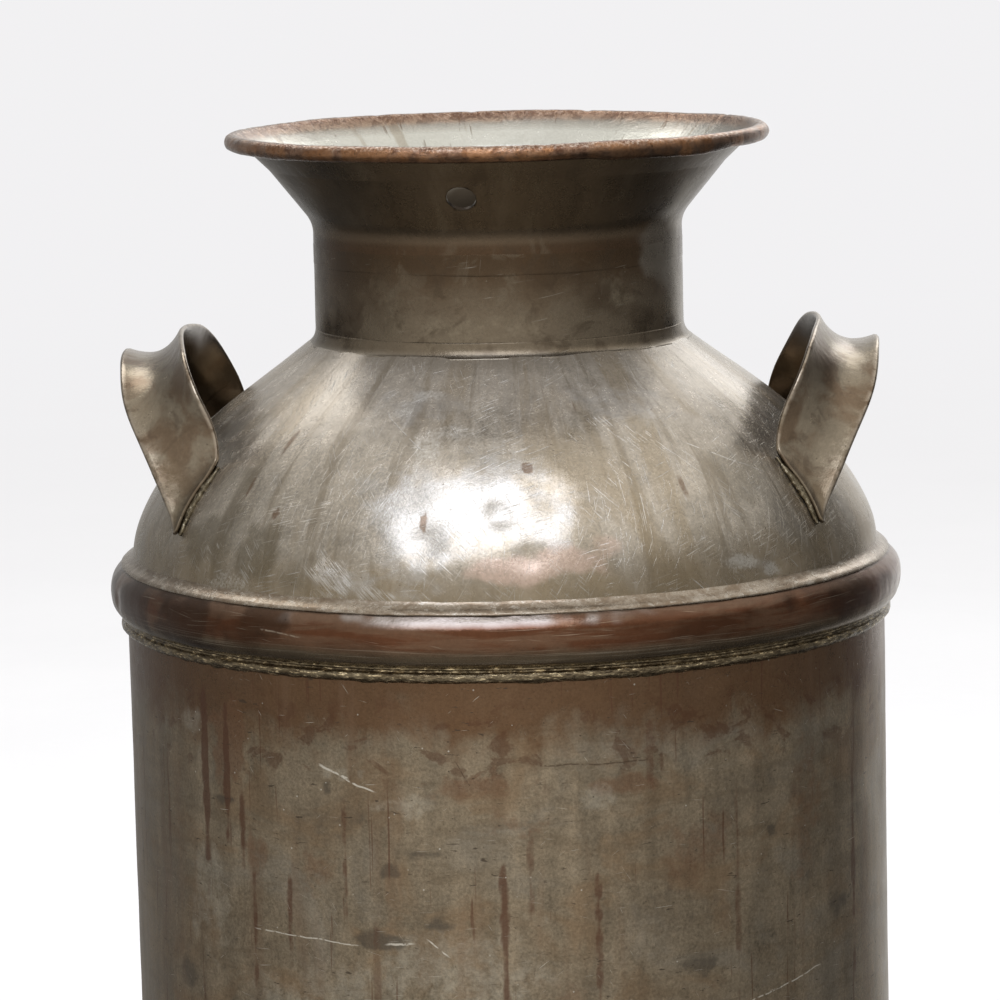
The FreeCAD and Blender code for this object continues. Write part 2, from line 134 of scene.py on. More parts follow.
def angle_gap(a, b):
    """Signed difference of two angles in degrees."""
    return (np.asarray(a) - b + 180.0) % 360.0 - 180.0


def unit(vectors):
    return vectors / np.linalg.norm(vectors, axis=-1, keepdims=True)


def spline(knots, values):
    """Natural cubic spline through values at knots, as a callable."""
    x = np.asarray(knots, float)
    y = np.asarray(values, float).reshape(len(x), -1)
    count = len(x)
    gap = np.diff(x)
    system = np.zeros((count, count))
    right = np.zeros((count, y.shape[1]))
    system[0, 0] = system[-1, -1] = 1.0
    for i in range(1, count - 1):
        system[i, i - 1:i + 2] = gap[i - 1], 2 * (gap[i - 1] + gap[i]), gap[i]
        right[i] = 6 * ((y[i + 1] - y[i]) / gap[i] - (y[i] - y[i - 1]) / gap[i - 1])
    bend = np.linalg.solve(system, right)

    def evaluate(t):
        t = np.asarray(t, float)
        j = np.clip(np.searchsorted(x, t, side="right") - 1, 0, count - 2)
        span = gap[j]
        before = (x[j + 1] - t) / span
        after = (t - x[j]) / span
        curve = ((before ** 3 - before)[..., None] * bend[j]
                 + (after ** 3 - after)[..., None] * bend[j + 1])
        return (before[..., None] * y[j] + after[..., None] * y[j + 1]
                + curve * (span ** 2)[..., None] / 6.0)
    return evaluate


def smooth_path(points, step):
    """Dense points on a smooth curve through points."""
    points = np.asarray(points, float)
    lengths = np.linalg.norm(np.diff(points, axis=0), axis=1)
    run = np.concatenate([[0], np.cumsum(lengths)])
    count = max(2, int(round(run[-1] / step)) + 1)
    return spline(run, points)(np.linspace(0, run[-1], count))


def left_normals(path):
    t = np.gradient(path, axis=0)
    t /= np.maximum(np.linalg.norm(t, axis=1, keepdims=True), 1e-12)
    return np.stack([-t[:, 1], t[:, 0]], axis=1)


def cross2(a, b):
    return a[0] * b[1] - a[1] * b[0]


def bent(corners, offset=0.0, step=2.0, arc_step=0.7):
    """Dense points along one face of a bent sheet.

    Corners are (r, z) or (r, z, bend radius); the face lies offset to the
    left of travel.
    """
    places = [np.array(c[:2], float) for c in corners]
    radii = [c[2] if len(c) > 2 else 0.0 for c in corners]
    ways = [(b - a) / np.linalg.norm(b - a) for a, b in zip(places, places[1:])]
    lefts = [np.array([-w[1], w[0]]) for w in ways]
    points = [places[0] + lefts[0] * offset]
    for i in range(1, len(places) - 1):
        a, b = ways[i - 1], ways[i]
        pa, pb = places[i] + lefts[i - 1] * offset, places[i] + lefts[i] * offset
        det = cross2(a, b)
        points.append(pa + a * (cross2(pb - pa, b) / det if abs(det) > 1e-9 else 0.0))
    points.append(places[-1] + lefts[-1] * offset)
    out = [points[0]]

    def run_to(target):
        start = out[-1]
        count = max(1, int(math.ceil(np.linalg.norm(target - start) / step)))
        for k in range(1, count + 1):
            out.append(start + (target - start) * k / count)

    for i in range(1, len(places) - 1):
        a, b = ways[i - 1], ways[i]
        turn = math.atan2(cross2(a, b), float(a @ b))
        radius = radii[i] + (-offset if turn > 0 else offset)
        if radii[i] > 0 and radius > 0.05:
            start = points[i] - a * (radius * math.tan(abs(turn) / 2))
            run_to(start)
            centre = start + np.array([-a[1], a[0]]) * (radius if turn > 0 else -radius)
            count = max(2, int(math.ceil(abs(turn) * radius / arc_step)))
            arm = start - centre
            for k in range(1, count + 1):
                c, s = math.cos(turn * k / count), math.sin(turn * k / count)
                out.append(centre + np.array([arm[0] * c - arm[1] * s, arm[0] * s + arm[1] * c]))
        else:
            run_to(points[i])
    run_to(points[-1])
    return np.array(out)


def arch(count, power):
    """Weights that rise from 0 and fall back to 0."""
    return np.sin(np.linspace(0, PI, count)) ** power


def weights(section, values, start=0):
    """Zero along the section, but for values from index start on."""
    out = np.zeros(len(section))
    out[start:start + len(values)] = values
    return out


def around(az, radius, height=0.0):
    """Points at the azimuths, on a ring of the given radius and height."""
    angle = np.radians(az)
    return np.stack([np.sin(angle) * radius, -np.cos(angle) * radius, height + 0 * az], -1)


def move_radially(points, distance):
    r = np.hypot(points[..., 0], points[..., 1])
    radial = np.stack([points[..., 0] / r, points[..., 1] / r, 0 * r], -1)
    return points + radial * distance[..., None]


def push(points, normals, distance):
    return points + normals * distance[..., None]


def dents(az, points, table):
    """Depth of the dents; each is (az, height, radius, depth)."""
    out = np.zeros(az.shape)
    r = np.hypot(points[..., 0], points[..., 1])
    stretch = np.where(r > 100, 1.25, 1.0)
    for az0, z0, radius, depth in table:
        across = np.radians(angle_gap(az, az0)) * r
        reach = (across ** 2 + ((points[..., 2] - z0) * stretch) ** 2) / (radius * radius)
        out -= depth * np.exp(-reach * 1.6)
    return out


# ------------------------------------------------------------------- meshes
def add_values(mesh, name, values):
    attribute = mesh.attributes.new(name, "FLOAT", "POINT")
    attribute.data.foreach_set("value", np.asarray(values, np.float32).ravel())


def vertex_places(mesh):
    """Vertex coordinates in metres, as (n, 3) floats."""
    places = np.empty(len(mesh.vertices) * 3, np.float32)
    mesh.vertices.foreach_get("co", places)
    return places.reshape(-1, 3).astype(float)


def mesh_object(name, mesh, weld=False):
    """Smooth-shaded object of the mesh, its normals pointing outwards."""
    bm = bmesh.new()
    bm.from_mesh(mesh)
    if weld:
        bmesh.ops.remove_doubles(bm, verts=bm.verts, dist=2e-6)
    bmesh.ops.recalc_face_normals(bm, faces=bm.faces)
    for face in bm.faces:
        face.smooth = True
    bm.to_mesh(mesh)
    bm.free()
    return link_object(name, mesh)


def link_object(name, data):
    ob = bpy.data.objects.new(name, data)
    bpy.context.scene.collection.objects.link(ob)
    return ob


def quad_object(name, points, quads, values=None, weld=False):
    """Object from points in mm and quads; values are per-vertex floats."""
    mesh = bpy.data.meshes.new(name)
    places = (np.asarray(points, float) / 1000.0).astype(np.float32)
    quads = np.asarray(quads, np.int32)
    mesh.vertices.add(len(places))
    mesh.vertices.foreach_set("co", places.ravel())
    mesh.loops.add(quads.size)
    mesh.loops.foreach_set("vertex_index", quads.ravel())
    mesh.polygons.add(len(quads))
    mesh.polygons.foreach_set("loop_start", np.arange(0, quads.size, 4, dtype=np.int32))
    mesh.polygons.foreach_set("loop_total", np.full(len(quads), 4, np.int32))
    mesh.update(calc_edges=True)
    mesh.validate()
    for key, value in (values or {}).items():
        add_values(mesh, key, value)
    return mesh_object(name, mesh, weld)


def face_object(name, points, faces, values=None):
    """Object from points in mm and faces of any size."""
    mesh = bpy.data.meshes.new(name)
    places = (points.reshape(-1, 3) / 1000.0).tolist()
    mesh.from_pydata(places, [], [tuple(int(i) for i in face) for face in faces])
    for key, value in (values or {}).items():
        add_values(mesh, key, value)
    return mesh_object(name, mesh)


def quads_between(a, b):
    """Quads from rows of indices a to rows b; each row is a closed loop."""
    return np.stack([a, b, np.roll(b, -1, 1), np.roll(a, -1, 1)], -1).reshape(-1, 4)


def lathe(name, section, steps, shape, values=None, weld=False):
    """Revolves a closed section.

    shape(points, normals, az, section) returns the moved points; the
    normals point out of the solid.
    """
    section = np.asarray(section, float)
    keep = [0]
    for i in range(1, len(section)):
        if np.linalg.norm(section[i] - section[keep[-1]]) > 1e-4:
            keep.append(i)
    if np.linalg.norm(section[keep[-1]] - section[0]) < 1e-4:
        keep.pop()
    section = section[keep]
    count = len(section)
    after = np.roll(section, -1, 0)
    t = after - np.roll(section, 1, 0)
    t /= np.maximum(np.linalg.norm(t, axis=1, keepdims=True), 1e-9)
    area = 0.5 * np.sum(section[:, 0] * after[:, 1] - after[:, 0] * section[:, 1])
    flat = np.stack([t[:, 1], -t[:, 0]], 1) * (1 if area > 0 else -1)
    az = np.repeat((np.arange(steps) * 360.0 / steps - 180.0)[:, None], count, 1)
    points = around(az, section[:, 0], section[:, 1])
    normals = around(az, flat[:, 0], flat[:, 1])
    points = shape(points, normals, az, section)
    rows = np.arange(steps * count).reshape(steps, count)
    spread = {key: np.repeat(np.asarray(value, float)[keep][None, :], steps, 0)
              for key, value in (values or {}).items()}
    return quad_object(name, points.reshape(-1, 3), quads_between(rows, np.roll(rows, -1, 0)),
                       spread, weld)


def paint(ob, marks, ragged=0.55):
    """Per-vertex marks with ragged outlines, one attribute for each name.

    A mark is (az, height, half width, half height, strength).
    """
    points = vertex_places(ob.data) * 1000.0
    r = np.hypot(points[:, 0], points[:, 1])
    az = np.degrees(np.arctan2(points[:, 0], -points[:, 1]))
    edge = ragged * (fractal(points, 15.0, 2, 900) + 0.5 * fractal(points, 5.0, 1, 905))
    for name, table in marks.items():
        out = np.zeros(len(points))
        for az0, z0, width, height, strength in table:
            across = np.radians(angle_gap(az, az0)) * r / width
            reach = np.sqrt(across ** 2 + ((points[:, 2] - z0) / height) ** 2)
            out = np.maximum(out, strength * smoothstep(1.25, 0.45, reach + edge))
        add_values(ob.data, name, out)


# ------------------------------------------------------------- shader graphs
UNROLL_R = 165.0    # radius at which azimuths are unrolled to arc lengths


class Signal:
    """Output of a node; arithmetic on it adds math nodes."""

    def __init__(self, graph, socket):
        self.graph = graph
        self.socket = socket

    def __add__(self, other):
        return self.graph.math("ADD", self, other)

    def __radd__(self, other):
        return self.graph.math("ADD", other, self)

    def __sub__(self, other):
        return self.graph.math("SUBTRACT", self, other)

    def __rsub__(self, other):
        return self.graph.math("SUBTRACT", other, self)

    def __mul__(self, other):
        return self.graph.math("MULTIPLY", self, other)

    def max(self, other):
        return self.graph.math("MAXIMUM", self, other)

    def abs(self):
        return self.graph.math("ABSOLUTE", self)

    def step(self, start, end, low=0.0, high=1.0):
        """Smooth step from low at start to high at end; start may exceed end."""
        if start > end:
            start, end, low, high = end, start, high, low
        node = self.graph.node("ShaderNodeMapRange", interpolation_type="SMOOTHSTEP")
        self.graph.put(node.inputs["Value"], self)
        for key, value in (("From Min", start), ("From Max", end),
                           ("To Min", low), ("To Max", high)):
            node.inputs[key].default_value = value
        return Signal(self.graph, node.outputs[0])

    def coat(self, tint, mask, amount=None):
        """This colour with the tint laid over it where the mask is."""
        factor = mask if amount is None else mask * amount
        return self.graph.mix(factor, self, tint)


def strongest(*masks):
    return reduce(Signal.max, masks)


class Graph:
    """Writes a node tree."""

    def __init__(self, tree):
        self.tree = tree
        tree.nodes.clear()

    def node(self, kind, **settings):
        node = self.tree.nodes.new(kind)
        for key, value in settings.items():
            setattr(node, key, value)
        return node

    def put(self, socket, value):
        """Links a signal to the socket, or sets a plain value; colours gain alpha."""
        if isinstance(value, Signal):
            self.tree.links.new(value.socket, socket)
            return
        if isinstance(value, tuple) and len(socket.default_value) > len(value):
            value = (*value, 1.0)
        socket.default_value = value

    def fill(self, node, values, output=0):
        """Puts {input: value} into the node and returns its output."""
        for key, value in values.items():
            self.put(node.inputs[key], value)
        return Signal(self, node.outputs[output])

    def math(self, operation, *values):
        node = self.node("ShaderNodeMath", operation=operation)
        return self.fill(node, dict(enumerate(values)))

    def split(self, vector):
        node = self.node("ShaderNodeSeparateXYZ")
        self.put(node.inputs[0], vector)
        return [Signal(self, out) for out in node.outputs]

    def combine(self, x, y, z):
        return self.fill(self.node("ShaderNodeCombineXYZ"), {0: x, 1: y, 2: z})

    def radius(self, x, y):
        return self.math("SQRT", x * x + y * y)

    def mix(self, factor, first, second, blend="MIX"):
        node = self.node("ShaderNodeMix", data_type="RGBA", blend_type=blend, clamp_factor=True)
        return self.fill(node, {0: factor, 6: first, 7: second}, 2)

    def mix_shaders(self, factor, first, second):
        return self.fill(self.node("ShaderNodeMixShader"), {0: factor, 1: first, 2: second})

    def gain(self, colour, level):
        """Colour times a number."""
        return self.mix(1.0, colour, self.combine(level, level, level), "MULTIPLY")

    def tint(self, colour, level):
        """A fixed colour times a varying level."""
        return self.gain(self.combine(*colour), level)


class Material(Graph):
    """A principled material; its places are object coordinates in mm."""

    def __init__(self, name):
        self.material = bpy.data.materials.new(name)
        self.material.use_nodes = True
        super().__init__(self.material.node_tree)
        self.output = self.node("ShaderNodeOutputMaterial")
        self.bsdf = self.node("ShaderNodeBsdfPrincipled")
        self.surface = Signal(self, self.bsdf.outputs[0])
        self.put(self.output.inputs[0], self.surface)
        source = Signal(self, self.node("ShaderNodeTexCoord").outputs["Object"])
        scale = self.node("ShaderNodeVectorMath", operation="SCALE")
        self.place = self.fill(scale, {0: source, "Scale": 1000.0})
        self.flat = None

    def shifted(self, place, offset):
        return self.fill(self.node("ShaderNodeVectorMath", operation="ADD"),
                         {0: place, 1: offset})

    def unrolled(self):
        """Arc length at UNROLL_R, and height, of the surface point."""
        if self.flat is None:
            x, y, z = self.split(self.place)
            self.flat = self.math("ARCTAN2", x, y * -1.0) * UNROLL_R, z
        return self.flat

    def stretch(self, across, up):
        """The place, scaled across and up."""
        return self.fill(self.node("ShaderNodeMapping"),
                         {0: self.place, "Scale": (across, across, up)})

    def sheet(self, across, up, layer):
        """The unrolled place, scaled, in one layer of a noise."""
        u, z = self.unrolled()
        return self.combine(u * across, z * up, layer)

    def noise(self, place=None, scale=1.0, detail=4.0, rough=0.6, distort=0.0, seed=0.0):
        place = place or self.place
        if seed:
            place = self.shifted(place, (seed * 13.7, seed * 7.3, seed * 3.1))
        return self.fill(self.node("ShaderNodeTexNoise"),
                         {"Vector": place, "Scale": scale, "Detail": detail,
                          "Roughness": rough, "Distortion": distort}, "Fac")

    def dots(self, scale, rim, core, place=None):
        """Round dots at random cell points; rim and core are edge distances."""
        cells = self.fill(self.node("ShaderNodeTexVoronoi"),
                          {"Vector": place or self.place, "Scale": scale}, "Distance")
        return cells.step(rim, core)

    def attribute(self, name):
        node = self.node("ShaderNodeAttribute", attribute_name=name)
        return Signal(self, node.outputs["Fac"])

    def mask(self, name, noise, ragged=0.9, between=(0.22, 0.72)):
        """Painted attribute with its edge broken up by the noise."""
        return (self.attribute(name) + (noise - 0.5) * ragged).step(*between)

    def scratch(self, angle, length, cut, seed, curve, width=0.42):
        """Scratches at an angle in the unrolled plane; cut is the noise range kept."""
        u, v = self.unrolled()
        c, s = math.cos(rad(angle)), math.sin(rad(angle))
        along = u * c + v * s
        bow = self.noise(scale=0.012, detail=2.0, rough=0.5, seed=seed + 3.3)
        across = v * c - u * s + bow * curve
        place = self.combine(along * (1.0 / length), across * (1.0 / width), seed * 5.17)
        return self.noise(place, detail=2.0, rough=0.55).step(*cut)

    def line(self, start, end, width):
        """One broken scratch between two (az, height) places."""
        u, v = self.unrolled()
        per_degree = PI / 180.0 * UNROLL_R
        (az0, z0), (az1, z1) = start, end
        u0, u1 = az0 * per_degree, az1 * per_degree
        length = math.hypot(u1 - u0, z1 - z0)
        du, dz = (u1 - u0) / length, (z1 - z0) / length
        wobble = self.noise(scale=0.10, detail=2.0, rough=0.5, seed=az0 * 0.1)
        wobble = (wobble - 0.5) * (width * 5.0)
        from_u, from_z = u - u0, v - z0
        along = from_u * du + from_z * dz
        across = (from_z * du - from_u * dz + wobble).abs()
        breaks = self.noise(scale=0.35, detail=2.0, rough=0.6, seed=z0 * 0.01).step(0.36, 0.52)
        ends = along.step(-1.0, 3.0) * along.step(length + 1.0, length - 3.0)
        return across.step(width, width * 0.35) * ends * breaks

    def grain(self, seed):
        """Noise layers of four sizes: broad, medium, small and fine."""
        return (self.noise(scale=0.012, detail=3.0, rough=0.55, distort=0.4, seed=seed),
                self.noise(scale=0.050, rough=0.60, distort=0.5, seed=seed + 0.31),
                self.noise(scale=0.22, rough=0.62, distort=0.2, seed=seed + 0.57),
                self.noise(scale=0.85, detail=3.0, rough=0.70, seed=seed + 0.83))

    def grained(self, colour, layers, amounts):
        """Colour varied by the grain layers in the given amounts."""
        level = 1.0 - sum(amounts)
        for layer, amount in zip(layers, amounts):
            level = level + layer * (2 * amount)
        return self.gain(colour, level.max(0.15))

    def finish(self, colour, rough, height=None, bump=0.42, depth=0.0004, metal=1.0):
        """Sets the surface; bump is the strength and depth the metres of relief."""
        self.fill(self.bsdf, {"Base Color": colour, "Metallic": metal, "Roughness": rough})
        if height is not None:
            relief = self.fill(self.node("ShaderNodeBump"),
                               {"Strength": bump, "Distance": depth, "Height": height})
            self.put(self.bsdf.inputs["Normal"], relief)
        return self.material


# ----------------------------------------------------------------- materials
def body_material():
    g = Material("tarnished_body")
    u, z = g.unrolled()
    layers = broad, medium, small, fine = g.grain(seed=1.0)
    colour = g.grained((0.218, 0.172, 0.115), layers, (0.26, 0.38, 0.34, 0.72))
    fleck = 0.55 + fine * 0.9
    # greyer and redder drifts of tarnish
    hue = g.noise(g.stretch(0.020, 0.028), distort=0.8, seed=2.2)
    colour = colour.coat(g.tint((0.225, 0.200, 0.158), fleck), hue.step(0.50, 0.68), amount=0.48)
    colour = colour.coat(g.tint((0.200, 0.132, 0.074), fleck), hue.step(0.50, 0.36), amount=0.60)
    wipe = g.noise(g.stretch(0.022, 0.12), rough=0.62, distort=0.6, seed=2.9)
    colour = colour.coat(g.tint((0.150, 0.112, 0.070), fleck), wipe.step(0.52, 0.64), amount=0.40)
    tall = g.noise(g.stretch(0.085, 0.010), distort=0.2, seed=5)
    colour = g.gain(colour, tall.step(0.30, 0.70, low=0.84, high=1.16))
    # brown zone under the hoop, with a wandering lower edge
    wander = g.noise(g.combine(u * 0.020, 0.0, 2.0), rough=0.62)
    edge = z + (wander - 0.5) * -60.0 + (small - 0.5) * -10.0
    band = (edge + (medium - 0.5) * 40.0 + (small - 0.5) * 22.0).step(361.0, 384.0)
    brown = g.tint((0.110, 0.057, 0.027), 0.46 + (medium + fine * 1.3) * 0.46)
    colour = colour.coat(brown, band, amount=0.90)
    blot = g.noise(g.stretch(0.070, 0.085), rough=0.62, distort=0.5, seed=3.7)
    zone = z.step(345.0, 362.0) * z.step(396.0, 380.0)
    colour = colour.coat((0.082, 0.036, 0.019), blot.step(0.55, 0.62) * zone, amount=0.50)
    # painted marks: rust patches, pale rubbed places, dark stains
    colour = colour.coat(g.tint((0.150, 0.080, 0.043), fleck), g.mask("brown", small), amount=0.62)
    colour = colour.coat(g.tint((0.360, 0.330, 0.262), fleck),
                         g.mask("pale", small, ragged=1.1, between=(0.15, 0.85)), amount=0.50)
    colour = colour.coat((0.075, 0.062, 0.047), g.mask("dark", small), amount=0.70)
    # broad faint runs, then thin dark-red lines
    run = g.noise(g.stretch(0.060, 0.0050), distort=0.15, seed=7)
    runs = run.step(0.55, 0.66) * (z + broad * 70.0).step(180.0, 390.0)
    colour = colour.coat((0.165, 0.100, 0.060), runs, amount=0.38)
    thin = g.noise(g.sheet(0.34, 0.011, layer=3.3), detail=3.0, rough=0.55, distort=0.25)
    thin = thin.step(0.645, 0.68) * (z + medium * 260.0).step(250.0, 400.0)
    thin = (thin * 0.8).max(g.mask("rust", small, ragged=0.7))
    colour = colour.coat((0.098, 0.045, 0.026), thin, amount=0.80)
    # nicks, pits and bright chips
    nick = g.noise(g.stretch(0.17, 0.70), detail=3.0, distort=0.4, seed=9)
    nicks = nick.step(0.655, 0.70) * medium.step(0.42, 0.54)
    colour = colour.coat((0.055, 0.040, 0.028), nicks, amount=0.80)
    pits = g.dots(0.20, rim=0.085, core=0.045) * broad.step(0.42, 0.60)
    colour = colour.coat((0.050, 0.036, 0.024), pits, amount=0.75)
    chips = g.dots(0.15, rim=0.070, core=0.035, place=g.shifted(g.place, (31.0, 7.0, 3.0)))
    colour = colour.coat((0.60, 0.56, 0.48), chips * medium.step(0.46, 0.58), amount=0.70)
    bright = strongest(
        g.scratch(angle=4, length=16, cut=(0.735, 0.775), seed=11, curve=14) * 0.9,
        g.scratch(angle=-12, length=20, cut=(0.74, 0.78), seed=12, curve=16) * 0.8,
        g.scratch(angle=38, length=12, cut=(0.75, 0.79), seed=13, curve=10, width=0.40) * 0.8,
        g.scratch(angle=-57, length=12, cut=(0.75, 0.79), seed=14, curve=10, width=0.40) * 0.8,
        g.line((-38.6, 289.4), (-20.6, 287.2), width=0.36),
        g.line((-16.7, 288.3), (-12.3, 289.2), width=0.55),
        g.line((36, 254), (53, 263), width=0.40),
        g.line((-10.6, 291), (-7.2, 284), width=0.4),
        g.line((-23, 357.5), (-17.5, 351.5), width=0.5),
        g.line((-26.5, 361.5), (-21, 356), width=0.6))
    colour = colour.coat((0.62, 0.57, 0.48), bright, amount=0.85)
    dark = strongest(
        g.scratch(angle=10, length=16, cut=(0.735, 0.775), seed=21, curve=14, width=0.45),
        g.scratch(angle=80, length=22, cut=(0.735, 0.775), seed=22, curve=8),
        g.line((-6.0, 366), (-3.2, 352), width=0.3),
        g.line((6.0, 362.5), (22.0, 362.5), width=0.45) * 1.0)
    colour = colour.coat((0.070, 0.045, 0.028), dark, amount=0.70)
    # painted shade: darker towards the left side
    colour = colour.coat((0.070, 0.044, 0.024), u.step(-110.0, -215.0), amount=0.35)
    rough = medium * 0.20 + small * 0.14 + fine * 0.14 + band * -0.07 + 0.13
    height = fine * 0.42 + small * 0.50 + medium * 0.9
    return g.finish(colour, rough, height, bump=0.50, metal=0.88)


def breast_material():
    g = Material("tarnished_breast")
    _, z = g.unrolled()
    layers = broad, medium, small, fine = g.grain(seed=31.0)
    colour = g.grained((0.400, 0.352, 0.286), layers, (0.22, 0.36, 0.28, 0.46))
    fleck = 0.65 + fine * 0.7
    # long soft runs down the slope of the dome
    runs = g.noise(g.sheet(0.075, 0.010, layer=7.0), rough=0.60, distort=0.5)
    yellow = g.noise(g.sheet(0.020, 0.010, layer=2.0), distort=0.9)
    colour = colour.coat((0.195, 0.155, 0.104), runs.step(0.48, 0.35), amount=0.55)
    colour = colour.coat((0.480, 0.440, 0.380), runs.step(0.54, 0.70), amount=0.28)
    colour = colour.coat(g.tint((0.285, 0.220, 0.136), fleck), yellow.step(0.48, 0.60), amount=0.48)
    # darker and yellower towards the hoop
    low = (z + (medium - 0.5) * -26.0 + (broad - 0.5) * -20.0).step(456.0, 432.0)
    colour = colour.coat(g.tint((0.200, 0.150, 0.088), 0.6 + medium * 0.8), low, amount=0.70)
    # painted marks
    # salmon: copper-pink tint; at the front it lies along the lower edge of the key highlight as a
    # painted pink reflection
    salmon = g.mask("salmon", (medium + small) * 0.5, ragged=1.1, between=(0.05, 1.0))
    colour = colour.coat(g.tint((0.56, 0.410, 0.335), fleck), salmon, amount=0.64)
    fray = g.noise(g.stretch(0.10, 0.22), detail=5.0, rough=0.68, distort=0.6, seed=46.0)
    # rubbed, cleaner grey metal; at the front, under the key highlight, the lighter grey is also
    # painted highlight
    clean_and_highlight = g.mask("clean_and_highlight", fray, ragged=1.2, between=(0.05, 1.0))
    colour = colour.coat(g.tint((0.440, 0.418, 0.384), 0.72 + fine * 0.55), clean_and_highlight, amount=0.68)
    colour = colour.coat(g.tint((0.150, 0.122, 0.080), fleck),
                         g.mask("dark", medium, ragged=0.8, between=(0.10, 0.90)), amount=0.62)
    colour = colour.coat((0.62, 0.59, 0.53), g.mask("pale", fine, ragged=1.2), amount=0.50)
    colour = colour.coat((0.150, 0.092, 0.055), g.mask("spot", fine, ragged=0.8), amount=0.80)
    pits = g.dots(0.17, rim=0.075, core=0.035) * medium.step(0.42, 0.55)
    colour = colour.coat((0.14, 0.10, 0.065), pits, amount=0.70)
    # painted shade: the top of the dome darkens where it runs into the neck
    top = (z + (medium - 0.5) * 5.0).step(511.0, 518.5)
    colour = colour.coat((0.190, 0.158, 0.118), top, amount=0.50)
    # fine scratches, laid in small groups
    group = g.noise(scale=0.045, detail=2.0, rough=0.5, distort=0.3, seed=41.0)
    bright = strongest(
        g.scratch(angle=14, length=14, cut=(0.60, 0.68), seed=36, curve=10)
        * group.step(0.54, 0.62),
        g.scratch(angle=-40, length=11, cut=(0.60, 0.68), seed=37, curve=8)
        * group.step(0.45, 0.38),
        g.scratch(angle=84, length=13, cut=(0.66, 0.72), seed=38, curve=6) * 0.8,
        g.scratch(angle=55, length=14, cut=(0.66, 0.73), seed=39, curve=10) * 0.8,
        g.scratch(angle=6, length=22, cut=(0.70, 0.76), seed=40, curve=20) * 0.9,
        g.scratch(angle=-42, length=9, cut=(0.47, 0.60), seed=47, curve=6, width=0.40)
        * g.mask("brush", medium, ragged=0.6),
        g.line((38, 485), (52, 470), width=0.28),
        g.line((-24, 500), (-12, 485), width=0.24))
    colour = colour.coat((0.66, 0.64, 0.60), bright, amount=0.48)
    dark = g.scratch(angle=-48, length=12, cut=(0.68, 0.74), seed=48, curve=10) * 0.8
    colour = colour.coat((0.17, 0.14, 0.10), dark, amount=0.45)
    rough = medium * 0.14 + small * 0.12 + fine * 0.10 + runs * 0.10 + low * 0.03 + 0.015
    height = (fine * 0.28 + small * 0.42 + medium * 0.55
              + bright * -0.28 + dark * -0.2 + pits * -0.5)
    metal = (z + (medium - 0.5) * 30.0).step(468.0, 510.0, low=0.92, high=0.48)
    return g.finish(colour, rough, height, metal=metal)


def neck_material(name, pale_skirt=False):
    """Neck brown; pale_skirt lightens everything beyond a radius of about 82."""
    g = Material(name)
    _, z = g.unrolled()
    broad, medium, small, fine = g.grain(seed=52.0)
    # painted shade: the neck darkens to brown towards the top, under the flare
    low = (z + (medium - 0.5) * 26.0).step(563.0, 526.0)
    colour = g.mix(low, (0.074, 0.046, 0.025), (0.172, 0.136, 0.094))
    stain = g.noise(g.sheet(0.030, 0.060, layer=8.0), rough=0.62, distort=0.8)
    colour = colour.coat((0.066, 0.046, 0.029), stain.step(0.52, 0.64), amount=0.50)
    colour = colour.coat((0.165, 0.134, 0.094), stain.step(0.46, 0.36), amount=0.34)
    mottle = 0.30 + broad * 0.4 + medium * 0.44 + fine * 0.55
    colour = g.gain(colour, mottle)
    # dark marks: painted dark reflections down the front left and right of the neck; further round,
    # dark stains
    colour = colour.coat((0.060, 0.040, 0.024), g.mask("dark", medium, between=(0.05, 0.95)),
                         amount=0.60)
    # grey marks: a painted reflection of a pale wall down the front right of the neck; further
    # round, greyer patina
    colour = colour.coat(g.tint((0.25, 0.225, 0.185), mottle),
                         g.mask("grey", medium, ragged=0.5, between=(0.05, 1.00)), amount=0.70)
    colour = colour.coat(g.tint((0.40, 0.34, 0.24), 0.35 + fine),
                         g.mask("pale", small, ragged=1.1, between=(0.15, 0.95)), amount=0.45)
    flecks = g.dots(0.20, rim=0.085, core=0.045) * medium.step(0.46, 0.58)
    colour = colour.coat((0.30, 0.26, 0.20), flecks, amount=0.4)
    bright = strongest(
        g.scratch(angle=3, length=40, cut=(0.70, 0.76), seed=56, curve=14, width=0.8),
        g.scratch(angle=75, length=20, cut=(0.72, 0.78), seed=57, curve=14, width=0.8))
    colour = colour.coat((0.45, 0.42, 0.36), bright, amount=0.30)
    if pale_skirt:
        x, y, _ = g.split(g.place)
        skirt = (g.radius(x, y) + (medium - 0.5) * 1.6).step(80.6, 82.8)
        colour = colour.coat((0.270, 0.232, 0.182), skirt, amount=0.85)
    rough = medium * 0.16 + small * 0.12 + fine * 0.10 + 0.09
    height = fine * 0.28 + small * 0.40 + medium * 0.6
    return g.finish(colour, rough, height, metal=0.93)


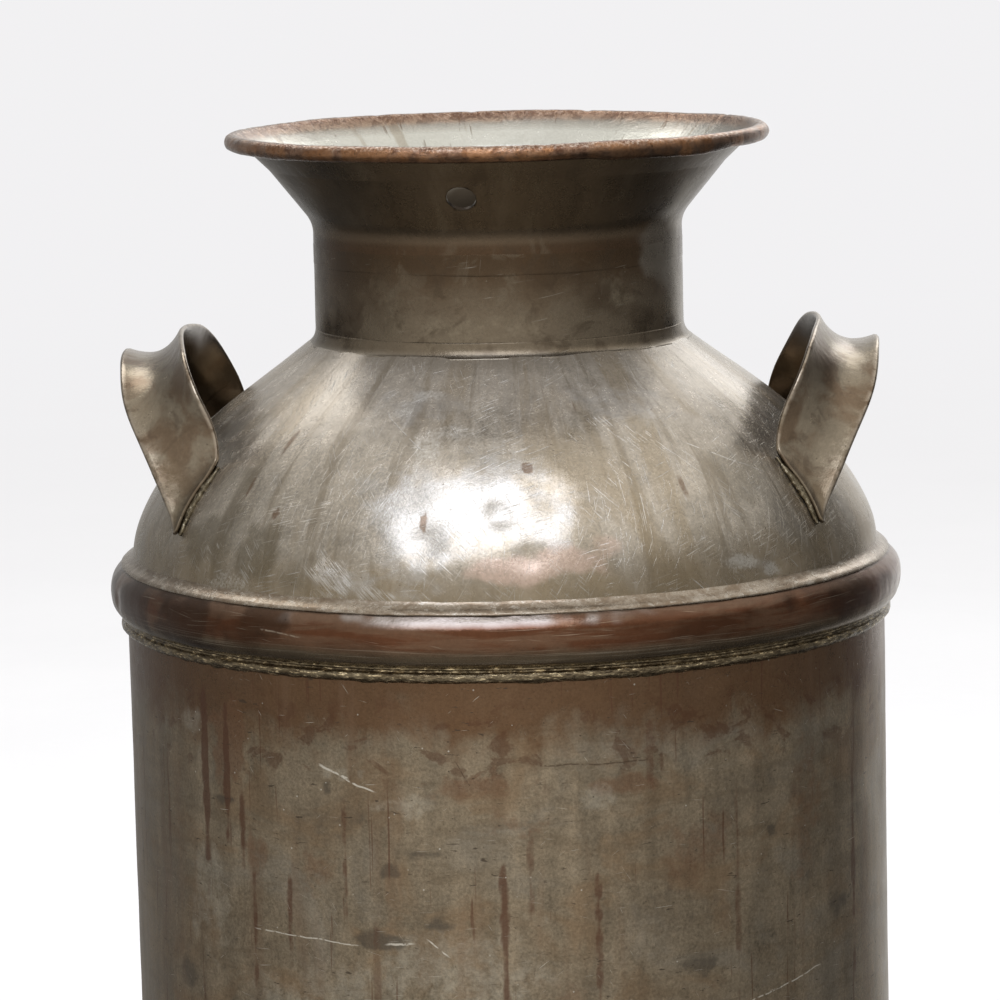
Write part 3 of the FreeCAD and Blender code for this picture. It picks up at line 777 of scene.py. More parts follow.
def bell_material():
    g = Material("flared_mouth")
    u, z = g.unrolled()
    inner, rim = g.attribute("inner"), g.attribute("rim")
    broad, medium, small, fine = g.grain(seed=72.0)
    # outside: dark olive brown
    mottle = 0.30 + broad * 0.4 + medium * 0.44 + fine * 0.55
    # towards the neck the outside turns to the neck's dark brown, the painted shade under the flare
    base = g.mix(z.step(575.0, 562.0), (0.098, 0.073, 0.047), (0.078, 0.047, 0.026))
    outside = g.gain(base, mottle)
    stain = g.noise(g.sheet(0.040, 0.030, layer=1.0), distort=0.6)
    outside = outside.coat((0.054, 0.039, 0.025), stain.step(0.54, 0.68), amount=0.40)
    outside = outside.coat((0.160, 0.130, 0.090), stain.step(0.46, 0.34), amount=0.24)
    # painted highlight: a lighter band along the bend at the foot of the flare
    crease = (z - 568.5).abs().step(3.5, 0.5)
    outside = outside.coat((0.170, 0.125, 0.082), crease, amount=0.35)
    # grey marks: at the front right a painted reflection of a pale wall; further round, greyer
    # patina
    outside = outside.coat(g.tint((0.25, 0.225, 0.185), mottle),
                           g.mask("grey", medium, ragged=0.8, between=(0.10, 0.90)), amount=0.60)
    # inside: grey-green tin with short dark runs
    level = 0.55 + broad * 0.3 + medium * 0.25 + fine * 0.35
    inside = g.tint((0.530, 0.515, 0.450), level)
    runs = g.noise(g.sheet(0.085, 0.022, layer=4.4), distort=0.2)
    inside = inside.coat((0.29, 0.235, 0.160), runs.step(0.58, 0.68), amount=0.50)
    short = g.noise(g.sheet(0.20, 0.05, layer=6.4), detail=3.0, distort=0.2)
    inside = inside.coat((0.16, 0.12, 0.08), short.step(0.62, 0.67) * runs.step(0.44, 0.54),
                         amount=0.65)
    inside = inside.coat((0.20, 0.15, 0.10), g.dots(0.13, rim=0.085, core=0.045), amount=0.55)
    # painted shade: the inside darkens lower down the mouth, towards the neck
    inside = inside.coat(g.tint((0.105, 0.088, 0.064), level),
                         (z + (medium - 0.5) * 16.0).step(590.0, 572.0))
    # painted shade on the walls of the seal holes, darkest on their lower side
    hole_wall_shade = g.attribute("hole_wall_shade")
    outside = outside.coat((0.022, 0.015, 0.010), hole_wall_shade, amount=0.92)
    # painted shade on the back of the inner wall where it is seen through the seal hole
    through_hole_shade = g.attribute("through_hole_shade") * inner
    inside = inside.coat((0.050, 0.038, 0.025), through_hole_shade)
    lip = (z + (medium - 0.5) * 5.0 + u.step(40.0, -330.0) * 1.0).step(605.2, 608.0)
    # the roll: pitted rust brown, with light specks along its crown as a painted highlight, orange
    # outside
    rust = g.noise(scale=0.20, detail=5.0, rough=0.70, distort=0.6, seed=76)
    specks = g.noise(scale=0.75, rough=0.70, distort=0.3, seed=77)
    roll = g.mix(rust.step(0.38, 0.60), (0.125, 0.062, 0.036), (0.245, 0.148, 0.096))
    crown = (z + (rust - 0.5) * 2.4).step(TOP - 2.6, TOP - 0.8)
    x, y, _ = g.split(g.place)
    back = y.step(10.0, 70.0)
    # painted highlight: light specks along the crown, fainter at the back
    roll = roll.coat((0.50, 0.415, 0.345), specks.step(0.47, 0.60) * crown,
                     amount=0.72 - back * 0.42)
    # painted shade on the underside of the roll
    underside = (z + (rust - 0.5) * 2.0).step(TOP - 3.4, TOP - 5.2)
    roll = roll.coat((0.050, 0.032, 0.021), underside, amount=0.55)
    patches = g.noise(scale=0.07, distort=0.5, seed=78).step(0.40, 0.56)
    orange = g.radius(x, y).step(114.0, 116.8) * patches
    roll = roll.coat((0.40, 0.185, 0.070), orange, amount=0.40 + back * 0.45)
    roll = roll.coat((0.032, 0.018, 0.012), specks.step(0.42, 0.30), amount=0.85)
    # painted shade in the gap under the curl where it has sprung open at the front right
    curl = g.attribute("curl") * z.step(TOP - 2.0, TOP - 4.5)
    roll = roll.coat((0.030, 0.020, 0.014), curl, amount=0.75)
    # painted shade on the hole walls, inside
    inside = inside.coat((0.040, 0.028, 0.018), hole_wall_shade, amount=0.85)
    colour = outside.coat(inside, inner)
    lip_colour = g.mix(rust.step(0.4, 0.6), (0.22, 0.145, 0.090), (0.40, 0.32, 0.23))
    colour = colour.coat(lip_colour, inner * lip, amount=0.70).coat(roll, rim)
    sheet_rough = (medium * 0.16 + small * 0.12 + fine * 0.10 + 0.10 + inner * -0.05
                   + inner * z.step(588.0, 570.0) * 0.28 + through_hole_shade * 0.25)
    roll_rough = rust * 0.16 + specks * 0.14 + 0.05
    rough = g.fill(g.node("ShaderNodeMix", data_type="FLOAT"),
                   {0: rim, 2: sheet_rough, 3: roll_rough})
    sheet_height = fine * 0.28 + small * 0.42 + medium * 0.6
    roll_height = rust * 1.5 + specks * 1.2
    height = sheet_height * (1.0 - rim) + roll_height * rim
    metal = 0.93 - inner * (1.0 - rim) * 0.22 * (1.0 - through_hole_shade)
    return g.finish(colour, rough, height, bump=0.50, depth=0.0005, metal=metal)


def breast_hoop_material():
    g = Material("breast_hoop_steel")
    _, z = g.unrolled()
    broad, medium, small, fine = g.grain(seed=92.0)
    mottle = 0.30 + broad * 0.40 + medium * 0.36 + small * 0.25 + fine * 0.45
    streak = g.noise(g.stretch(0.025, 0.22), rough=0.62, distort=0.4, seed=95)
    colour = g.mix(streak.step(0.42, 0.58), (0.100, 0.041, 0.020), (0.128, 0.070, 0.041))
    # lower flank greener; top flank a little lighter all round as painted light, worn, with a
    # painted highlight at the front
    low = (z + (medium - 0.5) * 4.0).step(413.0, 407.5)
    colour = colour.coat((0.172, 0.138, 0.090), low, amount=0.72)
    top = (z + (medium - 0.5) * 3.0).step(419.5, 423.5)
    # worn places on the top flank; the one at the front, under the key highlight, is painted
    # highlight as well as wear
    wear_and_sheen = g.mask("wear_and_sheen", medium, ragged=0.35, between=(0.05, 1.0))
    colour = colour.coat((0.360, 0.330, 0.305), top * wear_and_sheen, amount=0.75)
    colour = colour.coat((0.200, 0.150, 0.110), top, amount=0.22)
    colour = g.gain(colour, mottle)
    # dark marks: painted dark reflections on the front left and right of the hoop; further round,
    # dark stains
    colour = colour.coat((0.044, 0.022, 0.012),
                         g.mask("dark", medium, ragged=0.8, between=(0.05, 0.95)), amount=0.78)
    # pale bottom edge and a dark line along the top one
    colour = colour.coat((0.30, 0.255, 0.165), z.step(405.4, 404.4), amount=0.55)
    top_line = z.step(424.1, 424.7) * medium.step(0.36, 0.50)
    colour = colour.coat((0.060, 0.042, 0.028), top_line, amount=0.70)
    pits = g.dots(0.20, rim=0.10, core=0.05) * medium.step(0.44, 0.56)
    colour = colour.coat((0.045, 0.030, 0.020), pits, amount=0.65)
    bright = strongest(
        g.scratch(angle=2, length=34, cut=(0.68, 0.74), seed=96, curve=8),
        g.scratch(angle=-8, length=24, cut=(0.71, 0.77), seed=97, curve=10),
        g.line((-34, 417.2), (-27.3, 415.4), width=0.45),
        g.scratch(angle=0, length=60, cut=(0.56, 0.66), seed=98, curve=3, width=0.40)
        * z.step(415.0, 408.0))
    colour = colour.coat((0.46, 0.40, 0.31), bright, amount=0.42)
    rough = medium * 0.16 + small * 0.12 + fine * 0.12 + low * 0.06 + 0.0
    height = fine * 0.32 + small * 0.42 + medium * 0.6
    return g.finish(colour, rough, height, metal=0.95)


def foot_hoop_material():
    g = Material("foot_hoop_steel")
    _, z = g.unrolled()
    broad, medium, small, fine = g.grain(seed=102.0)
    mottle = 0.20 + broad * 0.45 + medium * 0.45 + small * 0.30 + fine * 0.50
    streak = g.noise(g.stretch(0.025, 0.12), rough=0.62, distort=0.4, seed=105)
    colour = g.mix(streak.step(0.42, 0.58), (0.135, 0.082, 0.054), (0.190, 0.142, 0.098))
    colour = g.gain(colour, mottle)
    colour = colour.coat((0.150, 0.075, 0.040), g.mask("rust", medium), amount=0.62)
    scuff = (z + (medium - 0.5) * 12.0).step(10.0, 2.0) * fine.step(0.36, 0.58)
    colour = colour.coat((0.38, 0.34, 0.28), scuff, amount=0.70)
    top_edge = z.step(39.5, 42.5) * small.step(0.40, 0.58)
    colour = colour.coat((0.32, 0.28, 0.22), top_edge, amount=0.45)
    pits = g.dots(0.18, rim=0.11, core=0.05) * medium.step(0.42, 0.54)
    colour = colour.coat((0.045, 0.030, 0.020), pits, amount=0.65)
    bright = strongest(
        g.scratch(angle=3, length=34, cut=(0.68, 0.75), seed=106, curve=10, width=0.45),
        g.scratch(angle=-35, length=16, cut=(0.71, 0.77), seed=107, curve=10),
        g.scratch(angle=28, length=16, cut=(0.71, 0.77), seed=108, curve=10))
    colour = colour.coat((0.50, 0.45, 0.37), bright, amount=0.55)
    rough = medium * 0.18 + small * 0.14 + fine * 0.12 + 0.13
    height = fine * 0.38 + small * 0.48 + medium * 0.7
    return g.finish(colour, rough, height, bump=0.50, metal=0.90)


def handle_material():
    g = Material("handle_steel")
    broad, medium, small, fine = g.grain(seed=112.0)
    mottle = 0.30 + broad * 0.3 + medium * 0.40 + small * 0.30 + fine * 0.50
    colour = g.mix(medium.step(0.40, 0.60), (0.156, 0.111, 0.072), (0.215, 0.177, 0.127))
    _, _, z = g.split(g.place)
    feet = (z + (medium - 0.5) * 24.0).step(484.0, 452.0)
    colour = g.gain(colour.coat((0.118, 0.094, 0.062), feet, amount=0.60), mottle)
    dirt = g.noise(scale=0.10, rough=0.65, distort=0.7, seed=115)
    colour = colour.coat((0.085, 0.058, 0.038), dirt.step(0.56, 0.68), amount=0.45)
    pits = g.dots(0.25, rim=0.11, core=0.05) * medium.step(0.42, 0.54)
    colour = colour.coat((0.045, 0.030, 0.020), pits, amount=0.65)
    # painted shade on the under face of the strip
    colour = colour.coat((0.060, 0.042, 0.027), g.attribute("under"), amount=0.76)
    colour = colour.coat((0.40, 0.34, 0.27), g.attribute("edge") * small.step(0.36, 0.56),
                         amount=0.60)
    rough = medium * 0.14 + small * 0.12 + fine * 0.12 + 0.035
    height = fine * 0.32 + small * 0.50 + medium * 0.7
    return g.finish(colour, rough, height, bump=0.45, metal=0.94)


def solder_material(name, dull, mid, bright, grime, seed, rough, crust, draw=1.0,
                    fine_scale=0.26):
    """Solder or braze; crust is its coarseness, draw squeezes the noise in height."""
    g = Material(name)
    place = g.stretch(1.0, draw)
    patches = g.noise(place, scale=0.11, rough=0.66, distort=0.8, seed=seed)
    fine = g.noise(place, scale=fine_scale, detail=5.0, rough=0.70, distort=0.4, seed=seed + 1)
    tiny = g.noise(scale=1.2, detail=3.0, rough=0.65, seed=seed + 2)
    colour = g.mix(patches.step(0.38, 0.62), dull, mid)
    colour = colour.coat(bright, fine.step(0.54, 0.66), amount=0.55 + 0.30 * crust)
    colour = colour.coat(grime, fine.step(0.47, 0.36), amount=0.45 + 0.45 * crust)
    colour = g.gain(colour, 0.70 + tiny * 0.60)
    roughness = patches * 0.14 + fine * 0.16 + (rough - 0.14)
    height = fine * (1.2 * crust) + tiny * (0.30 * crust) + patches * 0.6
    return g.finish(colour, roughness, height, bump=0.60, depth=0.0005, metal=0.92)


def wire_material():
    g = Material("rim_wire_steel")
    patches = g.noise(scale=0.2, detail=5.0, rough=0.64, distort=0.6, seed=15.2)
    fine = g.noise(scale=1.1, detail=5.0, rough=0.7, distort=0.2, seed=15.3)
    colour = g.mix(patches.step(0.4, 0.6), (0.10, 0.065, 0.04), (0.20, 0.15, 0.10))
    return g.finish(colour, fine * 0.3 + 0.3, fine, bump=0.4, depth=0.0003)


def pan_material():
    g = Material("bottom_pan_tin")
    layers = _, medium, small, fine = g.grain(seed=16.0)
    colour = g.grained((0.235, 0.200, 0.148), layers, (0.3, 0.4, 0.3, 0.5))
    stain = g.noise(scale=0.09, detail=5.0, rough=0.7, distort=1.4, seed=16.4)
    colour = colour.coat((0.15, 0.09, 0.055), stain.step(0.54, 0.68), amount=0.6)
    colour = colour.coat((0.08, 0.055, 0.035), medium.step(0.44, 0.34), amount=0.5)
    rough = medium * 0.2 + fine * 0.2 + 0.18
    height = fine * 0.35 + small * 0.4 + medium * 0.8
    return g.finish(colour, rough, height, bump=0.5)


BODY, BREAST, NECK = body_material(), breast_material(), neck_material("tarnished_neck")
BELL, BREAST_HOOP, FOOT_HOOP = bell_material(), breast_hoop_material(), foot_hoop_material()
HANDLE, WIRE, PAN = handle_material(), wire_material(), pan_material()
NECK_BASE = neck_material("neck_base_solder", pale_skirt=True)
SOLDER = solder_material(
    "grey_solder", dull=(0.200, 0.152, 0.106), mid=(0.300, 0.252, 0.196),
    bright=(0.46, 0.42, 0.36), grime=(0.16, 0.115, 0.075),
    seed=20.0, rough=0.25, crust=0.20, draw=2.0)
CRUSTY_BRAZE = solder_material(
    "crusty_braze", dull=(0.115, 0.085, 0.048), mid=(0.215, 0.170, 0.105),
    bright=(0.92, 0.74, 0.46), grime=(0.040, 0.028, 0.017),
    seed=23.0, rough=0.20, crust=1.0, draw=4.0)
HANDLE_BRAZE = solder_material(
    "handle_braze", dull=(0.085, 0.068, 0.042), mid=(0.17, 0.14, 0.09),
    bright=(0.50, 0.44, 0.32), grime=(0.03, 0.022, 0.014),
    seed=24.0, rough=0.28, crust=1.0, fine_scale=0.50)
SEAM_BRAZE = solder_material(
    "seam_braze", dull=(0.145, 0.108, 0.066), mid=(0.215, 0.175, 0.120),
    bright=(0.36, 0.32, 0.24), grime=(0.06, 0.042, 0.026),
    seed=25.0, rough=0.32, crust=0.6, draw=0.6)


def piece(ob, node, material):
    """Gives the object its material and puts it in place of a CAD piece."""
    ob.data.materials.clear()
    ob.data.materials.append(material)
    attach(ob, "root")
    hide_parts(node)


# ------------------------------------------------------------------ the dome
DOME = [(84.0, 518.2), (90.0, 513.7), (100.0, 506.5), (112.0, 497.8), (124.0, 488.1),
        (136.0, 476.9), (146.0, 464.9), (153.0, 454.6), (158.0, 445.0), (161.1, 435.6),
        (161.9, 430.0)]
DOME_TOP, DOME_FOOT = DOME[0], DOME[-1]
COLLAR_SLOPE = rad(37.0)
SKIRT_R = BODY_R - 1.55
# az, height, radius, depth
BREAST_DENTS = [
    (1.2, 463.5, 9.5, 1.9), (-10.4, 453.0, 12.0, 1.7), (-4.5, 458.0, 17.0, 0.6),
    (5.5, 446.5, 9.0, 0.9), (-1.5, 469.0, 8.0, -0.5), (8.5, 470.0, 12.0, 0.8),
    (-14.0, 470.0, 15.0, 0.7), (13.0, 455.0, 12.0, -0.5), (-16.0, 446.5, 12.0, 0.6),
    (20.5, 492.0, 15.0, 0.45), (26.0, 477.0, 18.0, 0.6), (-33.5, 467.0, 16.0, 0.55),
    (45.3, 433.5, 7.0, 0.9), (-24.0, 478.0, 20.0, 0.5), (58.0, 458.0, 20.0, 0.7),
    (-62.0, 452.0, 14.0, 0.8), (112.0, 462.0, 16.0, 1.3), (140.0, 448.0, 11.0, 1.1),
    (-142.0, 470.0, 18.0, 1.2), (-118.0, 446.0, 10.0, 1.0), (172.0, 480.0, 20.0, 0.9),
    (-166.0, 452.0, 9.0, 0.9), (-95.0, 500.0, 14.0, 0.5)]
# az, height, half width, half height, strength
BREAST_MARKS = {
    # salmon at the front: painted pink reflection under the key highlight; at the sides and back:
    # copper-pink tint
    "salmon": [(2.0, 442.0, 22, 6.0, 0.9), (11, 444.5, 20, 6.0, 0.8), (17, 449, 9, 6, 0.6),
               (104, 450, 30, 8, 0.6), (-150, 452, 34, 8, 0.55)],
    "dark": [(-38, 446, 15, 12, 0.85), (-46, 452, 8, 26, 0.6), (-52, 446, 14, 11, 0.65),
             (-63, 460, 7, 26, 0.5), (-31, 436, 14, 8, 0.6), (-57, 486, 7, 12, 0.5),
             (46, 472, 22, 14, 0.5), (33, 452, 16, 10, 0.45), (62, 466, 14, 14, 0.45),
             (-23, 470, 6, 24, 0.3), (120, 470, 18, 24, 0.5), (-120, 474, 22, 24, 0.5),
             (175, 462, 26, 16, 0.5), (0, 512, 40, 8, 0.25), (-10.5, 446, 3, 4, 0.5)],
    "pale": [(-16, 506, 10, 3, 0.6), (-20, 500, 8, 2.6, 0.5), (-12, 487, 10, 6, 0.5),
             (-8, 493, 15, 4, 0.5), (40, 438, 11, 6, 0.65), (45, 434, 9, 4, 0.7),
             (-44, 432, 18, 5, 0.4)],
    # rubbed, cleaner metal; the large patches at the front lie under the key highlight and are
    # partly painted highlight
    "clean_and_highlight": [(-5, 466, 46, 20, 0.85), (-12, 452, 26, 12, 0.8), (-21, 437.5, 20, 8, 0.55),
              (-12, 436, 14, 6, 0.35), (-17, 502, 20, 6, 0.5), (3, 478, 30, 10, 0.5),
              (42, 437, 14, 7, 0.40), (27, 500, 24, 8, 0.5), (118, 446, 26, 10, 0.6),
              (-130, 470, 30, 12, 0.5), (165, 450, 24, 9, 0.6)],
    "brush": [(-24.5, 437, 16, 11, 1.0), (-18, 432, 14, 6, 0.8)],
    "spot": [(6.1, 479.8, 2.6, 2.4, 0.9), (-10.8, 459.5, 1.8, 4.4, 0.8),
             (-45.5, 468, 1.6, 6.0, 0.7), (-42.8, 486, 1.4, 5.0, 0.7),
             (-37.3, 461, 2.2, 2.4, 0.8), (18, 500, 1.4, 4.0, 0.6), (33, 470, 1.6, 4.0, 0.6)],
}

dome = smooth_path(DOME, 1.9)
collar_bend_z = DOME_TOP[1] + (DOME_TOP[0] - SLEEVE_R) * math.tan(COLLAR_SLOPE)
collar = bent([(SLEEVE_R, COLLAR_Z), (SLEEVE_R, collar_bend_z, 3.6), DOME_TOP], 0.0, 2.5)
skirt = bent([DOME_FOOT, (DOME_FOOT[0], 427.2, 3.0), (SKIRT_R, 423.4, 3.0),
              (SKIRT_R, SKIRT_Z)], 0.0, 3.0)
breast_out = np.concatenate([collar[:-1], dome, skirt[1:]])
breast_in = (breast_out - left_normals(breast_out) * SHEET)[::2][::-1]


def shape_breast(points, normals, az, section):
    outward = np.ones(len(section))
    outward[len(breast_out):] = -1.0
    z = points[..., 2]
    free = smoothstep(SKIRT_Z + 26, 436.0, z) * smoothstep(526.0, 512.0, z)
    depth = (0.34 * fractal(points, 60.0, 2, 301) + 0.07 * fractal(points, 20.0, 2, 305)
             + dents(az, points, BREAST_DENTS))
    return push(points, normals * outward[None, :, None], depth * free)


breast = lathe("breast_dome", np.concatenate([breast_out, breast_in]), 640, shape_breast)
paint(breast, BREAST_MARKS)
piece(breast, "breast", BREAST)

# ---------------------------------------------------- the mouth and its roll
RIM_R = 116.9
ROLL_R = 3.45
ROLL_IN = ROLL_R - NECK_WALL
ROLL_X, ROLL_Z = RIM_R - ROLL_R, TOP - ROLL_R     # centre of the roll
ROLL_END = rad(-112.0)
KNEE = (98.3, 594.5)                              # slight bend in the cone
HOLE_R, HOLE_DEPTH = 0.0062, 0.016                # metres
# az, width in degrees, depth
RIM_NICKS = [(-172.5, 0.9, 0.45), (160.5, 1.0, 0.45), (-150.0, 1.4, 0.3),
             (118.0, 1.0, 0.35), (-72.0, 1.2, 0.3), (12.0, 1.6, 0.2)]
# az, height, half width, half height, strength
BELL_MARKS = {
    # curl: painted shade under the sprung-open curl
    "curl": [(31, 605.5, 36, 12, 1.0), (52, 605.5, 12, 12, 0.8)],
    # painted shade where the back wall is seen through the seal hole
    "through_hole_shade": [(-169, 571, 18, 9, 1.0)],
    # grey at az 60 to 72: painted reflection of a pale wall; the rest greyer patina
    "grey": [(60, 560, 16, 16, 0.7), (72, 556, 16, 22, 0.8), (64, 580, 14, 16, 0.6),
             (150, 580, 16, 20, 0.5), (-95, 584, 18, 16, 0.4)],
}


def roll_arc(radius, count):
    angle = np.linspace(roll_start, ROLL_END, count)
    return np.stack([ROLL_X + radius * np.cos(angle), ROLL_Z + radius * np.sin(angle)], 1)


# the lip runs from the knee, tangent to the inner circle of the roll
knee_dx, knee_dz = ROLL_X - KNEE[0], ROLL_Z - KNEE[1]
lip_angle = math.atan2(knee_dz, knee_dx) + math.asin(ROLL_IN / math.hypot(knee_dx, knee_dz))
roll_start = lip_angle + PI / 2
lip_end = (ROLL_X + ROLL_IN * math.cos(roll_start), ROLL_Z + ROLL_IN * math.sin(roll_start))
cone = [(SLEEVE_R, 538.0), (SLEEVE_R, 557.1, 2.6), (NECK_R, 560.3, 2.6),
        (NECK_R, 571.06, 14.0), (*KNEE, 3.0), lip_end]
cone_out = bent(cone, 0.0, 1.7)[:-1]
cone_in = bent(cone, NECK_WALL, 1.7)[:-1][::-1]
roll_out, roll_in = roll_arc(ROLL_R, 34), roll_arc(ROLL_IN, 14)
roll_cap = np.array([roll_out[-1] * (1 - k) + roll_in[-1] * k for k in (0.66, 0.33)])
bell_section = np.concatenate([cone_out, roll_in, roll_cap, roll_out[::-1], cone_in])
lip_start = len(bell_section) - len(cone_in)
inner_values = np.zeros(len(bell_section))
inner_values[lip_start:] = 1.0
inner_values[lip_start:lip_start + 2] = 0.9
rim_values = np.zeros(len(bell_section))
rim_values[len(cone_out):lip_start] = 1.0
# the brown of the roll fades a little way down the lip, inside
rim_values[lip_start:lip_start + 6] = 1.0 - np.arange(1, 7) / 7.0


def shape_bell(points, normals, az, section):
    z = points[..., 2]
    r = np.hypot(points[..., 0], points[..., 1])
    up = smoothstep(566.0, 606.0, z)
    roll = smoothstep(108.5, 111.0, r)
    radial = around(az, 1.0)
    ring = around(az, 40.0)
    # slow waves of the rim up and down and in and out
    rise = up * (0.42 * value_noise(ring / 24.0, 401) + 0.16 * value_noise(ring / 9.0, 402))
    spread = (up * (0.40 * value_noise(ring / 26.0, 403) + 0.14 * value_noise(ring / 10.0, 404))
              + 0.35 * up * np.cos(np.radians(2 * (az - 80))))
    points = points + np.stack([radial[..., 0] * spread + 0.6 * up, radial[..., 1] * spread,
                                rise], -1)
    # soft dents in the cone, equal on both faces
    on_cone = smoothstep(556.0, 572.0, z) * (1 - roll)
    side = np.where(np.arange(len(section)) < len(cone_out), 1.0, -1.0)[None, :, None]
    points = push(points, normals * side, on_cone * 0.35 * fractal(points, 26.0, 2, 405))
    # rough, nicked roll
    rough = 0.16 * fractal(points, 7.0, 3, 406) + 0.12 * fractal(points, 2.2, 2, 407)
    points = push(points, normals, roll * rough)
    for az0, width, depth in RIM_NICKS:
        nick = np.exp(-(angle_gap(az, az0) / width) ** 2) * roll
        points[..., 2] -= depth * nick * smoothstep(TOP - 5.0, TOP - 1.0, points[..., 2])
    # the curl has sprung open a little at the front right
    low = smoothstep(TOP - 3.0, TOP - 6.5, z) * smoothstep(ROLL_X - 1.5, ROLL_X + 1.5, r)
    sprung = smoothstep(20.0, 27.0, az) * smoothstep(62.0, 48.0, az) * low
    return points + around(az, 0.8, -1.3) * sprung[..., None]


def cut_hole(ob, mount):
    """Cuts a round hole through the object at a mount."""
    bm = bmesh.new()
    bmesh.ops.create_cone(bm, cap_ends=True, segments=56, radius1=HOLE_R, radius2=HOLE_R,
                          depth=HOLE_DEPTH)
    mesh = bpy.data.meshes.new("hole_cutter")
    bm.to_mesh(mesh)
    bm.free()
    cutter = link_object("hole_cutter", mesh)
    turn = Vector(mount["axis"]).to_track_quat("Z", "Y").to_matrix().to_4x4()
    cutter.matrix_world = Matrix.Translation(Vector(mount["pos_m"])) @ turn
    bpy.context.view_layer.update()
    cut = ob.modifiers.new("hole", "BOOLEAN")
    cut.operation = "DIFFERENCE"
    cut.solver = "EXACT"
    cut.object = cutter
    graph = bpy.context.evaluated_depsgraph_get()
    result = bpy.data.meshes.new_from_object(ob.evaluated_get(graph))
    ob.modifiers.clear()
    old = ob.data
    ob.data = result
    bpy.data.meshes.remove(old)
    bpy.data.objects.remove(cutter)


def hole_shade(places):
    """Painted shade on the hole walls, stronger towards their lower side."""
    out = np.zeros(len(places))
    for mount in SEAL_HOLES:
        axis = np.array(mount["axis"])
        away = places - np.array(mount["pos_m"])
        along = away @ axis
        across = np.linalg.norm(away - along[:, None] * axis, axis=1)
        near = (np.abs(along) < 0.006) & (across < 0.0066)
        shade = 0.35 + 0.65 * smoothstep(0.002, -0.0025, away[near, 2])
        out[near] = np.maximum(out[near], shade)
    return out


bell = lathe("flared_mouth", bell_section, 520, shape_bell,
             {"inner": inner_values, "rim": rim_values})
paint(bell, BELL_MARKS, ragged=0.3)
bpy.context.view_layer.update()
for hole in SEAL_HOLES:
    cut_hole(bell, hole)
# painted shade on the hole walls
add_values(bell.data, "hole_wall_shade", hole_shade(vertex_places(bell.data)))
piece(bell, "bell", BELL)

# ------------------------------------------------------------------ the neck
NECK_IN = NECK_R - NECK_WALL
# az, height, half width, half height, strength
NECK_MARKS = {
    # grey at az 60 to 72: painted reflection of a pale wall; the rest greyer patina
    "grey": [(60, 560, 16, 16, 0.7), (72, 548, 16, 26, 0.8), (150, 545, 16, 20, 0.5),
             (-100, 540, 14, 16, 0.45)],
    # dark in front, az -50 to 50: painted dark reflections and shade; further round, stains
    "dark": [(-50, 552, 16, 26, 1.0), (-38, 538, 12, 9, 0.5), (36, 542, 18, 9, 0.7),
             (50, 533, 14, 7, 0.7), (20, 553, 16, 8, 0.4), (-10, 560, 30, 8, 0.5),
             (110, 547, 24, 18, 0.7), (-140, 550, 28, 14, 0.7)],
    "pale": [(42.2, 541, 8, 4.5, 0.55), (41, 547, 6, 5, 0.42), (-32, 541, 9, 6, 0.30),
             (0, 531, 44, 6, 0.34), (130, 536, 16, 5, 0.35), (-160, 532, 30, 5, 0.3)],
}
neck_section = np.concatenate([
    bent([(NECK_IN, NECK_Z0), (NECK_R, NECK_Z0), (NECK_R, NECK_Z1), (NECK_IN, NECK_Z1)],
         0.0, 1.6),
    bent([(NECK_IN, NECK_Z1), (NECK_IN, NECK_Z0)], 0.0, 3.5)[1:-1]])


def shape_neck(points, normals, az, section):
    z = points[..., 2]
    free = smoothstep(NECK_Z0, NECK_Z0 + 6, z) * smoothstep(NECK_Z1, NECK_Z1 - 6, z)
    return move_radially(points, free * 0.22 * fractal(points, 24.0, 2, 421))


neck = lathe("neck", neck_section, 400, shape_neck)
paint(neck, NECK_MARKS)
piece(neck, "neck_tube", NECK)

# Solder in the groove above the neck tube, wiped thin over both edges.
# Both outlines are (radius past NECK_R, height above NECK_Z1).
GROOVE_FACE = [(-0.22, -3.6), (0.01, -3.0), (0.05, -1.5), (0.05, 1.5), (0.05, 4.0),
               (0.01, 5.6), (-0.22, 6.4)]
GROOVE_BACK = [(-0.5, 4.0), (-1.2, 2.2), (SLEEVE_R + 0.12 - NECK_R, 0.05), (-0.7, -1.0),
               (-0.6, -4.0)]
groove_face = smooth_path([(NECK_R + r, NECK_Z1 + z) for r, z in GROOVE_FACE], 0.7)
groove_section = np.concatenate([groove_face,
                                 [(NECK_R + r, NECK_Z1 + z) for r, z in GROOVE_BACK]])


def shape_groove(points, normals, az, section):
    count = len(groove_face)
    ends = (weights(section, (1, 0.7, 0.3))
            + weights(section, (-0.3, -0.7, -1), start=count - 3))
    face = weights(section, np.ones(count))
    points = push(points, normals, (0.04 * fractal(points, 9.0, 2, 431)) * face)
    points[..., 2] += 0.8 * fractal(around(az, 80, 5.0 * ends), 14.0, 3, 432) * np.abs(ends)
    return points


groove = lathe("neck_groove_solder", groove_section, 400, shape_groove)
paint(groove, NECK_MARKS)
piece(groove, "neck_top_solder", NECK)

# fillet at the foot of the neck: a quadratic curve, then the buried side
FILLET_STEPS = 14
fillet_top = np.array((NECK_R, NECK_Z0 + 1.6))
fillet_pull = np.array((NECK_R + 0.15, 521.0))
fillet_foot = np.array((83.2, 518.80))
q = np.linspace(0, 1, FILLET_STEPS)[:, None]
fillet_face = ((1 - q) ** 2 * fillet_top + 2 * q * (1 - q) * fillet_pull
               + q ** 2 * fillet_foot)
fillet_section = np.concatenate([fillet_face, [
    (83.0, 517.6), (80.0, 519.0), (78.7, 521.0), (78.6, NECK_Z0 - 0.05),
    (79.4, NECK_Z0 - 0.05), (79.5, NECK_Z0 + 1.4)]])


